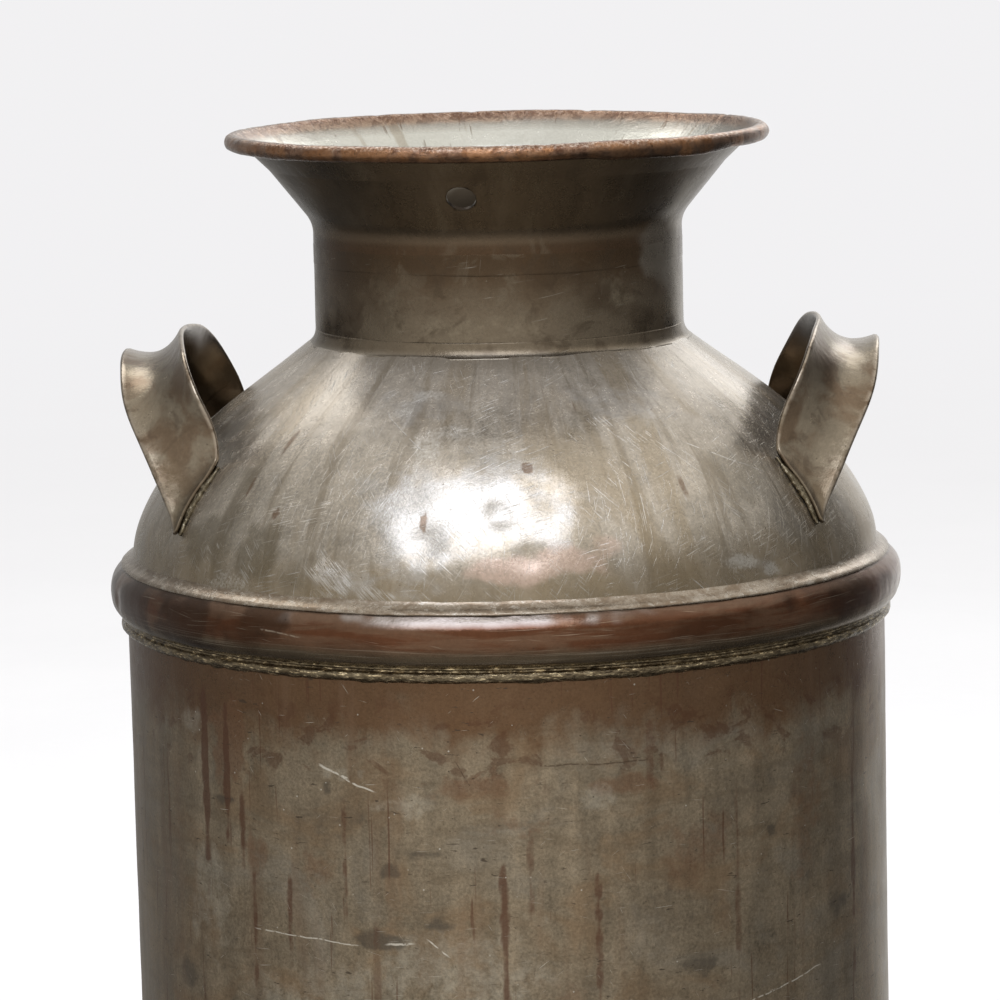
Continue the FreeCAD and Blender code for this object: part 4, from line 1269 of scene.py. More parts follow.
def shape_fillet(points, normals, az, section):
    face = weights(section, np.ones(FILLET_STEPS))
    foot_edge = weights(section, np.linspace(0, 1, 7), start=7)
    lumps = 0.08 * fractal(points, 8.0, 2, 441) + 0.02
    spread = 0.25 * value_noise(around(az, 40) / 8.0, 443)
    swell = np.sin(np.linspace(0.15, PI - 0.15, len(section)))
    points = push(points, normals, lumps * face * swell)
    return points + around(az, 1.0, -0.75) * (spread * foot_edge)[..., None]


piece(lathe("neck_base_fillet", fillet_section, 480, shape_fillet),
      "neck_base_solder", NECK_BASE)

# ----------------------------------------------------------- the breast hoop
HOOP = [(165.06, 426.9), (167.1, 424.9), (169.4, 422.6), (171.2, 419.9), (172.1, 416.2),
        (172.0, 411.6), (171.1, 407.8), (169.2, 405.0), (167.0, 403.6), (165.06, 403.3)]
HOOP_WALL = 2.2
# az, height, radius, depth
HOOP_DENTS = [(46.0, 419.5, 6.0, 1.0), (-74.0, 414.0, 7.0, 0.8), (128.0, 417.0, 8.0, 1.1),
              (-160.0, 412.0, 7.0, 0.9), (84.0, 411.0, 5.0, 0.6)]
# az, height, half width, half height, strength
HOOP_MARKS = {
    # the front one, under the key highlight, is painted highlight as well as wear
    "wear_and_sheen": [(-6, 422.5, 64, 10, 1.0), (150, 423, 60, 10, 0.5), (-120, 423, 50, 10, 0.5)],
    # dark from az -84 to 74: painted dark reflections; further round, stains
    "dark": [(-34, 419, 14, 10, 0.7), (-50, 417, 26, 13, 1.0), (-66, 417, 22, 13, 1.0),
             (-84, 417, 26, 12, 1.0), (-36, 414, 12, 7, 0.5), (30, 414, 26, 7, 0.5),
             (58, 415, 26, 8, 0.7), (74, 415, 16, 8, 0.6), (-20, 413, 20, 5, 0.35),
             (110, 415, 34, 8, 0.6), (-130, 415, 40, 8, 0.6), (170, 415, 26, 8, 0.6)],
}
hoop_out = smooth_path(HOOP, 0.9)
hoop_in = hoop_out - left_normals(hoop_out) * HOOP_WALL
hoop_in = hoop_in[hoop_in[:, 0] > BODY_R + 0.2]


def shape_hoop(points, normals, az, section):
    face = np.ones(len(hoop_out))
    face[:3] = (0, 0.3, 0.7)
    face[-3:] = (0.7, 0.3, 0)
    depth = (0.30 * value_noise(around(az, 40) / 9.0, 451) + 0.18 * fractal(points, 14.0, 2, 452)
             + 0.05 * fractal(points, 3.5, 2, 453) + dents(az, points, HOOP_DENTS))
    # one small raised lump at the front left
    lump = 0.5 * np.exp(-(angle_gap(az, -33.6) / 0.8) ** 2
                        - ((points[..., 2] - 416.6) / 1.4) ** 2)
    depth = np.minimum(depth + lump, 0.6) - 0.15
    return push(points, normals, depth * weights(section, face))


hoop = lathe("breast_hoop_band", np.concatenate([hoop_out, hoop_in[::-2]]), 720, shape_hoop)
paint(hoop, HOOP_MARKS)
piece(hoop, "breast_hoop", BREAST_HOOP)

# upper solder: from the dome over the hoop's shoulder
UPPER_FACE = [(161.5, 430.6), (162.2, 429.5), (163.3, 428.4), (164.7, 427.4), (166.2, 426.5),
              (167.2, 425.6)]
UPPER_BACK = [(166.6, 424.6), (165.2, 425.6), (163.0, 426.4), (161.3, 427.4), (160.9, 429.2)]
upper_face = smooth_path(UPPER_FACE, 0.42)


def shape_upper(points, normals, az, section):
    count = len(upper_face)
    ring = around(az, 160)
    lumps = 0.05 + 0.16 * fractal(points, 10.0, 3, 461) + 0.05 * fractal(points, 2.4, 2, 462)
    points = push(points, normals, lumps * weights(section, arch(count, 0.5)))
    # both edges wander over the metal
    up = fractal(ring, 18.0, 3, 463) * 0.8 * weights(section, np.linspace(1, 0, 4))
    out = fractal(ring, 14.0, 3, 464) * 0.45 * weights(section, np.linspace(0, 1, 5), count - 5)
    return (points + around(az, -0.18, 1.0) * up[..., None]
            + around(az, 0.72, -0.72) * out[..., None])


piece(lathe("hoop_solder_fillet", np.concatenate([upper_face, UPPER_BACK]), 720, shape_upper),
      "hoop_solder_upper", SOLDER)

# lower bead: rough and lumpy, under the hoop
BEAD_FACE = [(165.2, 404.0), (166.3, 403.9), (166.9, 403.3), (166.6, 402.7), (165.9, 402.3),
             (166.1, 401.8), (167.0, 401.3), (167.7, 400.4), (167.8, 399.4), (167.3, 398.4),
             (166.4, 397.8), (165.6, 397.4), (164.9, 397.2)]
BEAD_BACK = [(164.4, 397.8), (164.2, 400.2), (164.4, 403.0)]
bead_face = smooth_path(BEAD_FACE, 0.36)


def shape_bead(points, normals, az, section):
    count = len(bead_face)
    low = smoothstep(402.6, 401.4, points[..., 2])
    ring = around(az, 165)
    amount = 0.5 + 0.5 * smoothstep(-0.3, 0.4, fractal(ring, 60.0, 2, 470))
    squeezed = points * np.array([1.0, 1.0, 2.6])
    lumps = (amount * (0.50 * fractal(squeezed, 6.5, 3, 471) + 0.26 * fractal(squeezed, 2.6, 2, 472))
             - 0.05 + 0.25 * value_noise(ring / 30.0, 473))
    face = weights(section, arch(count, 0.6))
    points = push(points, normals, lumps * face * (0.35 + 0.65 * low))
    lower_edge = weights(section, np.linspace(0, 1, 8), count - 8)
    points[..., 2] -= (0.7 * np.abs(fractal(ring, 9.0, 3, 474)) * 1.6) * lower_edge
    return points


piece(lathe("hoop_braze_bead", np.concatenate([bead_face, BEAD_BACK]), 1200, shape_bead),
      "hoop_solder_lower", CRUSTY_BRAZE)

# ------------------------------------------------------------------ the body
# az, height, radius, depth
BODY_DENTS = [
    (-64.0, 300.0, 26.0, 1.2), (30.0, 214.0, 30.0, 1.1), (74.0, 330.0, 24.0, 1.0),
    (-20.0, 150.0, 34.0, 1.3), (118.0, 210.0, 34.0, 1.6), (150.0, 320.0, 18.0, 1.2),
    (-120.0, 250.0, 32.0, 1.6), (-155.0, 130.0, 26.0, 1.4), (60.0, 110.0, 20.0, 1.1),
    (-84.0, 96.0, 16.0, 1.1), (5.0, 96.0, 14.0, 0.7), (96.0, 92.0, 12.0, 0.8)]
# az, height, half width, half height, strength
BODY_MARKS = {
    "rust": [(-48.4, 352, 2.8, 44, 0.9), (-43.5, 356, 2.4, 32, 0.9), (-40.5, 330, 2.6, 24, 0.75),
             (-38.5, 290, 2.0, 32, 0.6), (-31.9, 303, 2.2, 32, 0.65), (-22.5, 318, 2.0, 28, 0.6),
             (0.7, 286, 2.2, 46, 0.7), (4.5, 320, 2.0, 24, 0.5), (14, 290, 1.8, 44, 0.6),
             (22, 366, 2.4, 18, 0.5), (-18, 268, 2.6, 44, 0.45), (36, 300, 1.8, 54, 0.5),
             (63, 300, 2.4, 64, 0.6), (98, 320, 2.8, 64, 0.7), (118, 340, 3.2, 54, 0.85),
             (-125, 340, 3.4, 54, 0.85), (165, 300, 3.4, 74, 0.6), (-96, 300, 2.4, 64, 0.6)],
    "brown": [(-43, 366, 13, 18, 0.85), (-38, 322, 10, 12, 0.55), (-4, 354, 18, 8, 0.65),
              (2, 340, 22, 10, 0.45), (30, 322, 20, 18, 0.5), (9, 262, 16, 18, 0.45),
              (-27, 318, 12, 18, 0.5), (18, 353, 18, 5, 0.7), (50, 330, 14, 34, 0.45),
              (120, 362, 22, 16, 0.7), (-118, 366, 28, 14, 0.7), (170, 352, 24, 14, 0.6),
              (-160, 210, 24, 34, 0.45), (100, 180, 22, 34, 0.45), (-20, 120, 30, 20, 0.4),
              (40, 80, 26, 14, 0.45), (-80, 70, 30, 16, 0.5)],
    "pale": [(-22.1, 359, 10, 4.5, 0.8), (-14, 346, 15, 5, 0.6), (-48.3, 300, 13, 28, 0.5),
             (-4, 276, 50, 22, 0.5), (-52, 372, 11, 8, 0.6), (14, 348, 11, 6, 0.55),
             (-30, 262, 34, 14, 0.42), (88, 250, 34, 64, 0.45), (-100, 230, 30, 74, 0.45),
             (150, 180, 44, 44, 0.45)],
    "dark": [(-18.4, 289.5, 11, 5.0, 0.85), (-9.0, 297.5, 9, 2.6, 0.7), (-44, 341, 8, 2.8, 0.7),
             (-10, 326, 15, 2.2, 0.6), (-15.5, 318.5, 4.4, 3.4, 0.9), (42.2, 325.5, 5, 4, 0.8),
             (30, 274, 10, 6, 0.6), (-25, 352, 3.4, 2.6, 0.7), (58, 286, 9, 7, 0.6),
             (-54, 262, 10, 8, 0.6), (-28, 336, 32, 18, 0.38), (40, 344, 32, 16, 0.38),
             (24, 300, 42, 10, 0.36), (100, 270, 22, 3, 0.7), (-140, 300, 18, 3, 0.8),
             (150, 260, 15, 6, 0.6), (-100, 330, 14, 3, 0.8), (-20, 200, 28, 22, 0.42)],
}
body_out = np.concatenate([np.linspace(BODY_Z0, 200.0, 34, endpoint=False),
                           np.linspace(200.0, BODY_Z1, 76)])
body_in = np.linspace(BODY_Z1, BODY_Z0, 9)
body_section = ([(BODY_R, z) for z in body_out] + [(BODY_R - SHEET, z) for z in body_in])


def dent_body(points, az):
    """Body wall points, dented; the wall is stiffer along the seam and the hoops."""
    z = points[..., 2]
    free = smoothstep(FOOT_H + 2, FOOT_H + 26, z) * smoothstep(396.0, 376.0, z)
    depth = (0.45 * fractal(points, 90.0, 2, 481) + 0.14 * fractal(points, 26.0, 2, 482)
             + dents(az, points, BODY_DENTS))
    off_seam = smoothstep(5.0, 12.0, np.abs(angle_gap(az, 180.0)) * 165 * PI / 180)
    return move_radially(points, depth * free * (0.25 + 0.75 * off_seam))


body = lathe("body_sheet", body_section, 820,
             lambda points, normals, az, section: dent_body(points, az))
paint(body, BODY_MARKS)
piece(body, "body_shell", BODY)

# brazed seam down the back: a grid over the wall, closed by one inside it
SEAM_ROWS, SEAM_COLUMNS = 420, 15


def make_seam():
    z, across = np.meshgrid(np.linspace(SEAM_Z0, SEAM_Z1, SEAM_ROWS),
                            np.linspace(-1, 1, SEAM_COLUMNS), indexing="ij")
    line = np.stack([0 * z, 0 * z + 165, z], -1)
    right_side = np.array([40.0, 0, 0]) * (across > 0)[..., None]
    half = (5.4 + 0.9 * fractal(line, 18.0, 3, 491)
            + 0.5 * fractal(line + right_side, 6.0, 2, 492))
    x = across * half + 0.5 * fractal(line, 60.0, 2, 493)
    lumps = 0.75 + 0.18 * fractal(np.stack([x, 0 * x, z], -1), 7.0, 2, 494)
    height = lumps * (1 - across ** 2) ** 0.8
    # ripples across the bead
    height = height + 0.12 * np.cos(z * 2 * PI / 3.4 + 1.2 * across ** 2) * (1 - across ** 2)
    ends = smoothstep(SEAM_Z0 - 0.1, SEAM_Z0 + 3, z) * smoothstep(SEAM_Z1 + 0.1, SEAM_Z1 - 3, z)
    y = np.sqrt(BODY_R ** 2 - x ** 2)
    wall = dent_body(np.stack([x, y, z], -1), np.degrees(np.arctan2(x, -y)))
    radial = np.stack([wall[..., 0] / BODY_R, wall[..., 1] / BODY_R, 0 * z], -1)
    tucked = 0.35 * (np.abs(across) > 0.999)
    outer = wall + radial * (height * ends + 0.05 - tucked)[..., None]
    inner = wall - radial * 0.9
    a = np.arange(z.size).reshape(z.shape)
    b = a + z.size
    out_quads, in_quads = (
        np.stack([i[:-1, :-1], i[1:, :-1], i[1:, 1:], i[:-1, 1:]], -1).reshape(-1, 4)
        for i in (a, b))
    quads = [out_quads, in_quads[:, ::-1]]
    for e, f in ((a[:, 0], b[:, 0]), (a[:, -1], b[:, -1]), (a[0], b[0]), (a[-1], b[-1])):
        quads.append(np.stack([e[:-1], e[1:], f[1:], f[:-1]], -1))
    points = np.concatenate([outer.reshape(-1, 3), inner.reshape(-1, 3)])
    return quad_object("side_seam_bead", points, np.concatenate(quads))


piece(make_seam(), "side_seam_braze", SEAM_BRAZE)

# ------------------------------------------------------------- the foot hoop
FOOT_IN = BODY_R + 0.05
FOOT_FLANGE_R = 157.5
FOOT_FLANGE_TOP = 4.0
# az, height, radius, depth
FOOT_DENTS = [(-38.0, 40.0, 9.0, 0.8), (22.0, 2.0, 10.0, 0.7), (96.0, 38.0, 8.0, 0.8),
              (-150.0, 5.0, 12.0, 0.9), (158.0, 36.0, 9.0, 0.8)]
# az, height, half width, half height, strength
FOOT_MARKS = {
    "rust": [(-30, 14, 34, 10, 0.7), (40, 20, 28, 11, 0.7), (100, 16, 34, 11, 0.75),
             (170, 22, 34, 12, 0.7), (-110, 16, 38, 10, 0.7), (0, 34, 30, 6, 0.5)],
}
foot_section = bent([
    (FOOT_IN, FOOT_FLANGE_TOP), (FOOT_IN, FOOT_H), (FOOT_R, FOOT_H, 3.4), (FOOT_R, 0.0, 4.5),
    (FOOT_FLANGE_R, 0.0), (FOOT_FLANGE_R, FOOT_FLANGE_TOP), (FOOT_IN, FOOT_FLANGE_TOP),
], 0.0, 2.2, 0.8)[:-1]


def shape_foot(points, normals, az, section):
    outside = (section[:, 0] > BODY_R + 0.6).astype(float)
    depth = (0.35 * value_noise(around(az, 40) / 10.0, 501) + 0.20 * fractal(points, 16.0, 2, 502)
             + 0.06 * fractal(points, 4.0, 2, 503) + dents(az, points, FOOT_DENTS) - 0.15)
    # the underside stays flat
    return push(points, normals, depth * outside * smoothstep(0.0, 2.5, points[..., 2]))


foot = lathe("foot_hoop_band", foot_section, 560, shape_foot)
paint(foot, FOOT_MARKS)
piece(foot, "foot_hoop", FOOT_HOOP)

# solder along the top of the foot hoop; outlines are (radius, height above FOOT_H)
FOOT_FACE = [(164.9, 3.6), (165.4, 2.3), (165.9, 1.2), (166.7, 0.5), (167.8, 0.1)]
FOOT_BACK = [(167.0, -0.6), (165.2, -0.2), (164.3, 0.8), (164.3, 2.8)]
foot_face = smooth_path([(r, FOOT_H + z) for r, z in FOOT_FACE], 0.4)
foot_solder_section = np.concatenate([foot_face, [(r, FOOT_H + z) for r, z in FOOT_BACK]])


def shape_foot_solder(points, normals, az, section):
    lumps = 0.15 + 0.35 * fractal(points, 6.0, 3, 511)
    points = push(points, normals, lumps * weights(section, arch(len(foot_face), 0.5)))
    top_edge = weights(section, np.linspace(1, 0, 4))
    points[..., 2] += 0.9 * fractal(around(az, 160), 11.0, 3, 512) * top_edge
    return points


piece(lathe("foot_solder_fillet", foot_solder_section, 720, shape_foot_solder),
      "foot_hoop_solder", SOLDER)

# ---------------------------------------------------------------- the bottom
PAN_SHEET = 2.0
PAN = PAN
PAN_CORNERS = [(PAN_R, PAN_Z0), (PAN_R, 21.0, 7.0), (95.0, 16.0, 60.0), (0.0, 16.0)]
pan_section = np.concatenate([bent(PAN_CORNERS, 0.0, 4.0),
                              bent(PAN_CORNERS, PAN_SHEET, 4.0)[::-1]])


def shape_pan(points, normals, az, section):
    free = smoothstep(150.0, 120.0, np.hypot(points[..., 0], points[..., 1]))
    flat = points * np.array([1, 1, 0.0])
    points = points.copy()
    points[..., 2] += free * (0.8 * fractal(flat, 60.0, 2, 521) + 0.2 * fractal(flat, 18.0, 2, 522))
    return points


piece(lathe("bottom_pan_sheet", pan_section, 300, shape_pan, weld=True),
      "bottom_pan", PAN)

BOTTOM_FACE = [(163.4, 25.6), (162.6, 23.2), (161.2, 21.3), (159.0, 20.4), (156.6, 20.3)]
BOTTOM_BACK = [(157.6, 19.2), (160.8, 17.9), (162.6, 15.6), (163.4, 13.6)]
bottom_face = smooth_path(BOTTOM_FACE, 0.6)


def shape_bottom_solder(points, normals, az, section):
    face = weights(section, np.ones(len(bottom_face) - 1), start=1)
    return push(points, normals, 0.25 * fractal(points, 7.0, 3, 531) * face)


piece(lathe("bottom_solder_fillet", np.concatenate([bottom_face, BOTTOM_BACK]), 420,
            shape_bottom_solder), "bottom_solder", SOLDER)

# --------------------------------------------------------------- the handles
HANDLE_SHEET = 2.3
HANDLE_ROWS, HANDLE_COLUMNS = 300, 25
# Half of the +X handle, from its middle to one foot: place t along the strip,
# upper edge x y z, lower edge x y z, sag between the edges.
HANDLE_STATIONS = np.array([
    (0.0, 138.1, 0.0, 525.0, 163.1, 0.0, 515.7, 6.0),
    (0.2, 135.7, 30.3, 523.1, 161.8, 25.0, 511.2, 5.8),
    (0.4, 131.8, 55.6, 516.8, 158.5, 46.5, 498.6, 5.0),
    (0.6, 125.5, 69.6, 503.7, 150.6, 62.0, 483.1, 4.0),
    (0.8, 119.0, 71.6, 489.4, 142.4, 71.6, 466.4, 2.8),
    (1.0, 116.3, 73.4, 475.0, 134.4, 79.8, 450.0, 1.6),
    (1.25, 114.6, 77.6, 466.0, 130.0, 87.0, 440.0, 1.2)])
other_half = HANDLE_STATIONS[:0:-1] * np.array([-1, 1, -1, 1, 1, -1, 1, 1])
stations = np.concatenate([other_half, HANDLE_STATIONS])
upper_edge = spline(stations[:, 0], stations[:, 1:4])
lower_edge = spline(stations[:, 0], stations[:, 4:7])
edge_sag = spline(stations[:, 0], stations[:, 7])
dome_line = np.concatenate([[(80.0, 521.2)], dome, [(162.2, 424.0)]])
MIRROR_X = np.array([-1, 1, 1])


def dome_distance(points):
    """Signed distance to the dome's outer face, and its outward normal."""
    r = np.hypot(points[..., 0], points[..., 1])
    flat = np.stack([r, points[..., 2]], -1)
    start = dome_line[:-1]
    side = dome_line[1:] - start
    t = ((flat[..., None, :] - start) * side).sum(-1) / (side ** 2).sum(-1)
    closest = start + np.clip(t, 0, 1)[..., None] * side
    j = np.linalg.norm(flat[..., None, :] - closest, axis=-1).argmin(-1)
    near = np.take_along_axis(closest, j[..., None, None].repeat(2, -1), -2)[..., 0, :]
    normal = unit(np.stack([-side[:, 1], side[:, 0]], 1))[j]
    distance = ((flat - near) * normal).sum(-1)
    return distance, np.stack([normal[..., 0] * points[..., 0] / r,
                               normal[..., 0] * points[..., 1] / r, normal[..., 1]], -1)


def strip(t, s):
    """Mid face of the handle: t along it, s from the upper to the lower edge."""
    upper, lower = upper_edge(t), lower_edge(t)
    ahead = t + 0.01
    along = 0.5 * (upper_edge(ahead) + lower_edge(ahead) - upper - lower)
    normal = unit(np.cross(lower - upper, along))
    sag = edge_sag(t)[..., 0] * 4 * s * (1 - s)
    return upper + (lower - upper) * s[..., None] - normal * sag[..., None]


def foot_ends(s):
    """t where the strip ends: where it meets the dome, plus a rounded tongue."""
    low, high = np.full(s.shape, 0.7), np.full(s.shape, 1.2)
    for _ in range(30):
        middle = 0.5 * (low + high)
        above = dome_distance(strip(middle, s))[0] > 0
        low = np.where(above, middle, low)
        high = np.where(above, high, middle)
    tongue = (0.085 - 0.085 * np.clip(1 - s / 0.22, 0, 1) ** 2
              - 0.05 * np.clip((s - 0.86) / 0.14, 0, 1) ** 2)
    return low + tongue


def make_handle(name, seed, mirror):
    rows, columns, half = HANDLE_ROWS, HANDLE_COLUMNS, HANDLE_SHEET / 2
    s = np.linspace(0, 1, columns)
    along = np.linspace(-1, 1, rows)
    # uneven steps along the strip
    along = np.sign(along) * (1 - (1 - np.abs(along)) ** 1.15)
    mid = strip(along[:, None] * foot_ends(s)[None, :], np.repeat(s[None, :], rows, 0))
    mid = mid + 0.35 * np.stack([fractal(mid, 34.0, 2, seed + i) for i in range(3)], -1)
    # near the dome the strip bends to lie on it
    distance, dome_normal = dome_distance(mid)
    lying, blend = half + 0.15, 3.2
    lifted = 0.5 * (distance + lying + np.sqrt((distance - lying) ** 2 + blend * blend))
    lifted = np.where(distance > 16, distance, lifted)
    mid = mid + dome_normal * (lifted - distance)[..., None]
    across = np.gradient(mid, axis=1)
    normal = unit(np.cross(across, np.gradient(mid, axis=0)))
    across = unit(across)
    if normal[rows // 2, columns // 2, 2] < 0:
        normal = -normal

    def round_edge(k, way, angles):
        return np.stack([mid[:, k] + half * (way * math.cos(rad(a)) * across[:, k]
                                             + math.sin(rad(a)) * normal[:, k])
                         for a in angles], 1)

    # each row is a loop: top face, lower edge, under face, upper edge
    points = np.concatenate([
        mid + normal * half, round_edge(-1, 1, (45, 0, -45)),
        (mid - normal * half)[:, ::-1], round_edge(0, -1, (-45, 0, 45))], 1)
    rough = 0.10 * fractal(points, 7.0, 3, seed + 5) + 0.04 * fractal(points, 2.5, 2, seed + 6)
    sign = np.array([1.0] * columns + [0.0] * 3 + [-1.0] * columns + [0.0] * 3)
    loop_normal = np.concatenate([normal, np.repeat(normal[:, -1:], 3, 1),
                                  normal[:, ::-1], np.repeat(normal[:, :1], 3, 1)], 1)
    points = push(points, loop_normal, rough * sign)
    if mirror:
        points = points * MIRROR_X
    loops = np.arange(rows * len(sign)).reshape(rows, -1)
    faces = quads_between(loops[:-1], loops[1:]).tolist()
    last, corner = columns - 1, 2 * columns + 3
    for loop in (loops[0], loops[-1]):
        under = loop[columns + 3:corner][::-1]
        faces += [(loop[k], loop[k + 1], under[k + 1], under[k]) for k in range(last)]
        faces.append(loop[last:last + 4])
        faces.append((loop[last], loop[columns + 2], under[last]))
        faces.append((loop[corner], loop[corner + 1], loop[corner + 2], loop[0]))
        faces.append((loop[corner], loop[0], under[0]))
    # under: painted shade, full on the under face, partial on the edges
    under_values = [0.0] * columns + [0.3] * 3 + [1.0] * columns + [0.2] * 3
    edge_values = ([1.0] + [0.0] * (columns - 2) + [1.0] + [1.0] * 3
                   + [0.0] * columns + [1.0] * 3)
    return face_object(name, points, faces, {"under": np.tile(under_values, rows),
                                             "edge": np.tile(edge_values, rows)})


def make_handle_braze(name, seed, mirror):
    """Lumpy braze along the end of each foot, one closed bead per foot."""
    rows, columns = 60, 16
    beads, faces = [], []
    s = np.linspace(0.02, 0.98, rows)
    angle = np.linspace(0, 2 * PI, columns, endpoint=False)[None, :, None]
    taper = np.sin(np.clip(np.linspace(0.0, 1.0, rows) * PI, 0.12, PI - 0.12)) ** 0.35
    for foot_index, way in enumerate((-1, 1)):
        centre = strip(way * (foot_ends(s) + 0.008), s)
        distance, normal = dome_distance(centre)
        centre = centre + normal * (0.35 - distance)[:, None]
        side = unit(np.cross(normal, unit(np.gradient(centre, axis=0))))
        centre = centre[:, None, :]
        bead = centre + (np.cos(angle) * side[:, None, :] * 2.0
                         + np.sin(angle) * normal[:, None, :] * 1.35) * taper[:, None, None]
        lumps = 0.38 * fractal(bead, 4.0, 3, seed + 9 * foot_index)
        bead = bead + (bead - centre) * lumps[..., None]
        if mirror:
            bead = bead * MIRROR_X
        beads.append(bead)
        loops = (foot_index + np.arange(2))[0] * rows * columns
        loops = loops + np.arange(rows * columns).reshape(rows, columns)
        faces += quads_between(loops[:-1], loops[1:]).tolist()
        faces += [loops[0][::-1], loops[-1]]
    return face_object(name, np.concatenate(beads), faces)


for side_name, side_seed, mirrored in (("right", 601, False), ("left", 641, True)):
    piece(make_handle("bail_" + side_name, side_seed, mirrored),
          "handle_" + side_name, HANDLE)
    piece(make_handle_braze("bail_braze_" + side_name, side_seed + 20, mirrored),
          "handle_braze_" + side_name, HANDLE_BRAZE)

# the wire inside the roll keeps its CAD mesh
wire = frame["nodes"]["rim_wire"]
wire.data.materials.clear()
wire.data.materials.append(WIRE)

# ---------------------------------------------------------------- the studio
BACKDROP = (0.885, 0.878, 0.890, 1.0)


def floor_material():
    """Pale floor that fades into the backdrop and is unseen by reflections."""
    g = Material("pale_floor")
    broad = g.noise(scale=0.004, rough=0.55, distort=0.2, seed=7.0)
    fine = g.noise(scale=0.12, seed=7.1)
    level = broad * 0.05 + fine * 0.02 + 0.64
    material = g.finish(g.combine(level, level * 0.995, level * 0.99), rough=0.9, metal=0.0)
    g.bsdf.inputs["Specular IOR Level"].default_value = 0.1
    x, y, _ = g.split(g.place)
    far = g.radius(x, y).step(700.0, 5200.0)
    glow = g.fill(g.node("ShaderNodeEmission"), {0: BACKDROP})
    clear = Signal(g, g.node("ShaderNodeBsdfTransparent").outputs[0])
    glossy = Signal(g, g.node("ShaderNodeLightPath").outputs["Is Glossy Ray"])
    seen = g.mix_shaders(far, g.surface, glow)
    g.put(g.output.inputs[0], g.mix_shaders(glossy, seen, clear))
    return material


def make_floor():
    """A disc just under the foot, its rings widening outwards."""
    radii = np.concatenate([[0.0], np.geomspace(60.0, 30000.0, 60)])[:, None]
    angle = np.linspace(0, 2 * PI, 128, endpoint=False)
    points = np.stack([radii * np.cos(angle), radii * np.sin(angle), 0 * radii * angle - 0.15], -1)
    rings = np.arange(points.shape[0] * 128).reshape(-1, 128)
    floor = quad_object("floor", points.reshape(-1, 3), quads_between(rings[:-1], rings[1:]),
                        weld=True)
    bm = bmesh.new()
    bm.from_mesh(floor.data)
    for face in bm.faces:
        if face.normal.z < 0:
            face.normal_flip()
    bm.to_mesh(floor.data)
    bm.free()
    floor.data.materials.append(floor_material())


def area_light(name, az, elevation, distance, size, power, color):
    """Rectangular light aimed at the middle of the churn; lengths in metres."""
    light = bpy.data.lights.new(name, "AREA")
    light.shape = "RECTANGLE"
    light.size, light.size_y = size
    light.energy = power
    light.color = color
    target = Vector((0, 0, 0.44))
    a, e = rad(az), rad(elevation)
    away = Vector((math.sin(a) * math.cos(e), -math.cos(a) * math.cos(e), math.sin(e)))
    place = target + away * distance
    ob = bpy.data.objects.new(name, light)
    ob.location = place
    ob.rotation_euler = (target - place).to_track_quat("-Z", "Y").to_euler()
    bpy.context.scene.collection.objects.link(ob)


make_floor()
area_light("key_high", az=-8, elevation=58, distance=2.2, size=(1.40, 1.25), power=16.2,
           color=(0.880, 0.965, 1.150))
area_light("fill_right", az=158, elevation=34, distance=2.5, size=(0.9, 1.5), power=7.5,
           color=(0.98, 0.99, 1.0))
area_light("fill_back", az=-150, elevation=50, distance=2.5, size=(1.2, 1.0), power=9.0,
           color=(1.0, 1.0, 1.0))

# brightness seen in reflections: az, level
SURROUND = [(-180, 0.90), (-164, 0.50), (-148, 0.30), (-120, 0.33), (-75, 0.56), (-42, 0.86),
            (-14, 1.08), (14, 0.98), (40, 0.68), (64, 0.46), (92, 0.32), (118, 0.15),
            (138, 0.18), (150, 0.85), (164, 1.02), (180, 0.92)]


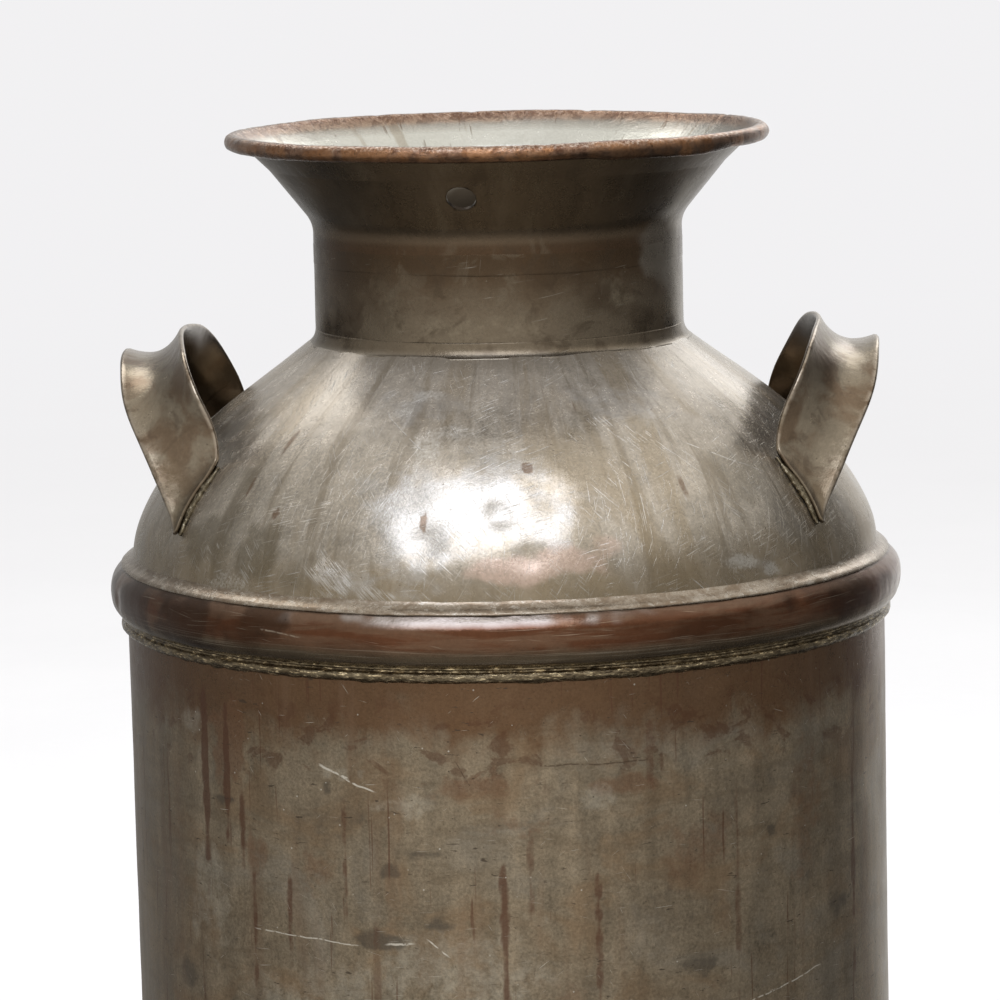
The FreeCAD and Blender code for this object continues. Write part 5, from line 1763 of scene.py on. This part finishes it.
def make_world():
    """Backdrop to the camera, a dim studio in reflections, soft light elsewhere."""
    world = bpy.data.worlds.new("studio")
    bpy.context.scene.world = world
    world.use_nodes = True
    g = Graph(world.node_tree)
    output = g.node("ShaderNodeOutputWorld")
    path = g.node("ShaderNodeLightPath")
    x, y, z = g.split(Signal(g, g.node("ShaderNodeTexCoord").outputs["Generated"]))
    turn = g.math("ARCTAN2", x, y * -1.0) * (0.5 / PI) + 0.5
    ramp = g.node("ShaderNodeValToRGB")
    ramp.color_ramp.interpolation = "EASE"
    stops = ramp.color_ramp.elements
    while len(stops) < len(SURROUND):
        stops.new(0.5)
    for stop, (az, level) in zip(stops, SURROUND):
        stop.position = (az + 180.0) / 360.0
        # stored at half level, doubled again below
        stop.color = (level / 2.0, level / 2.0, level / 2.0, 1.0)
    sides = g.fill(ramp, {0: turn}) * 2.0
    ceiling = 1.06 + x * 0.35
    high = z.step(0.40, 0.86)
    level = sides * (1.0 - high) + ceiling * high
    level = level * z.step(-0.75, -0.12, low=0.36, high=1.0)
    reflected = g.fill(g.node("ShaderNodeBackground"),
                       {0: g.combine(level, level * 0.99, level * 0.97)})
    backdrop = g.fill(g.node("ShaderNodeBackground"), {0: BACKDROP})
    ambient = g.fill(g.node("ShaderNodeBackground"),
                     {0: (1.0, 0.995, 1.0, 1.0), 1: z.step(-0.2, 0.9, low=0.44, high=1.45)})
    lit = g.mix_shaders(Signal(g, path.outputs["Is Glossy Ray"]), ambient, reflected)
    seen = g.mix_shaders(Signal(g, path.outputs["Is Camera Ray"]), lit, backdrop)
    g.put(output.inputs[0], seen)


make_world()
bpy.context.scene.view_settings.view_transform = "Standard"
bpy.context.scene.view_settings.look = "None"

# ---------------------------------------------------------------- the camera
CAMERA_AZ = rad(1.857)
CAMERA_DISTANCE = 1.9945                  # metres from the axis
CAMERA_HEIGHT = TOP / 1000.0 + 0.1305     # metres
CAMERA_PITCH = 0.1459                     # radians, downwards
CAMERA_ROLL = -0.023                      # radians


def make_camera():
    data = bpy.data.cameras.new("camera")
    data.sensor_width = 36.0
    data.lens = 166.34
    data.shift_x = -0.00375
    data.clip_start, data.clip_end = 0.05, 100.0
    camera = bpy.data.objects.new("camera", data)
    c, s = math.cos(CAMERA_AZ), math.sin(CAMERA_AZ)
    right, level, vertical = Vector((c, s, 0.0)), Vector((-s, c, 0.0)), Vector((0, 0, 1))
    forward = level * math.cos(CAMERA_PITCH) - vertical * math.sin(CAMERA_PITCH)
    up = level * math.sin(CAMERA_PITCH) + vertical * math.cos(CAMERA_PITCH)
    cr, sr = math.cos(CAMERA_ROLL), math.sin(CAMERA_ROLL)
    axes = Matrix((right * cr + up * sr, up * cr - right * sr, -forward))
    pose = axes.transposed().to_4x4()
    pose.translation = Vector((CAMERA_DISTANCE * s, -CAMERA_DISTANCE * c, CAMERA_HEIGHT))
    camera.matrix_world = pose
    bpy.context.scene.collection.objects.link(camera)
    bpy.context.scene.camera = camera


make_camera()

bpy.context.view_layer.update()
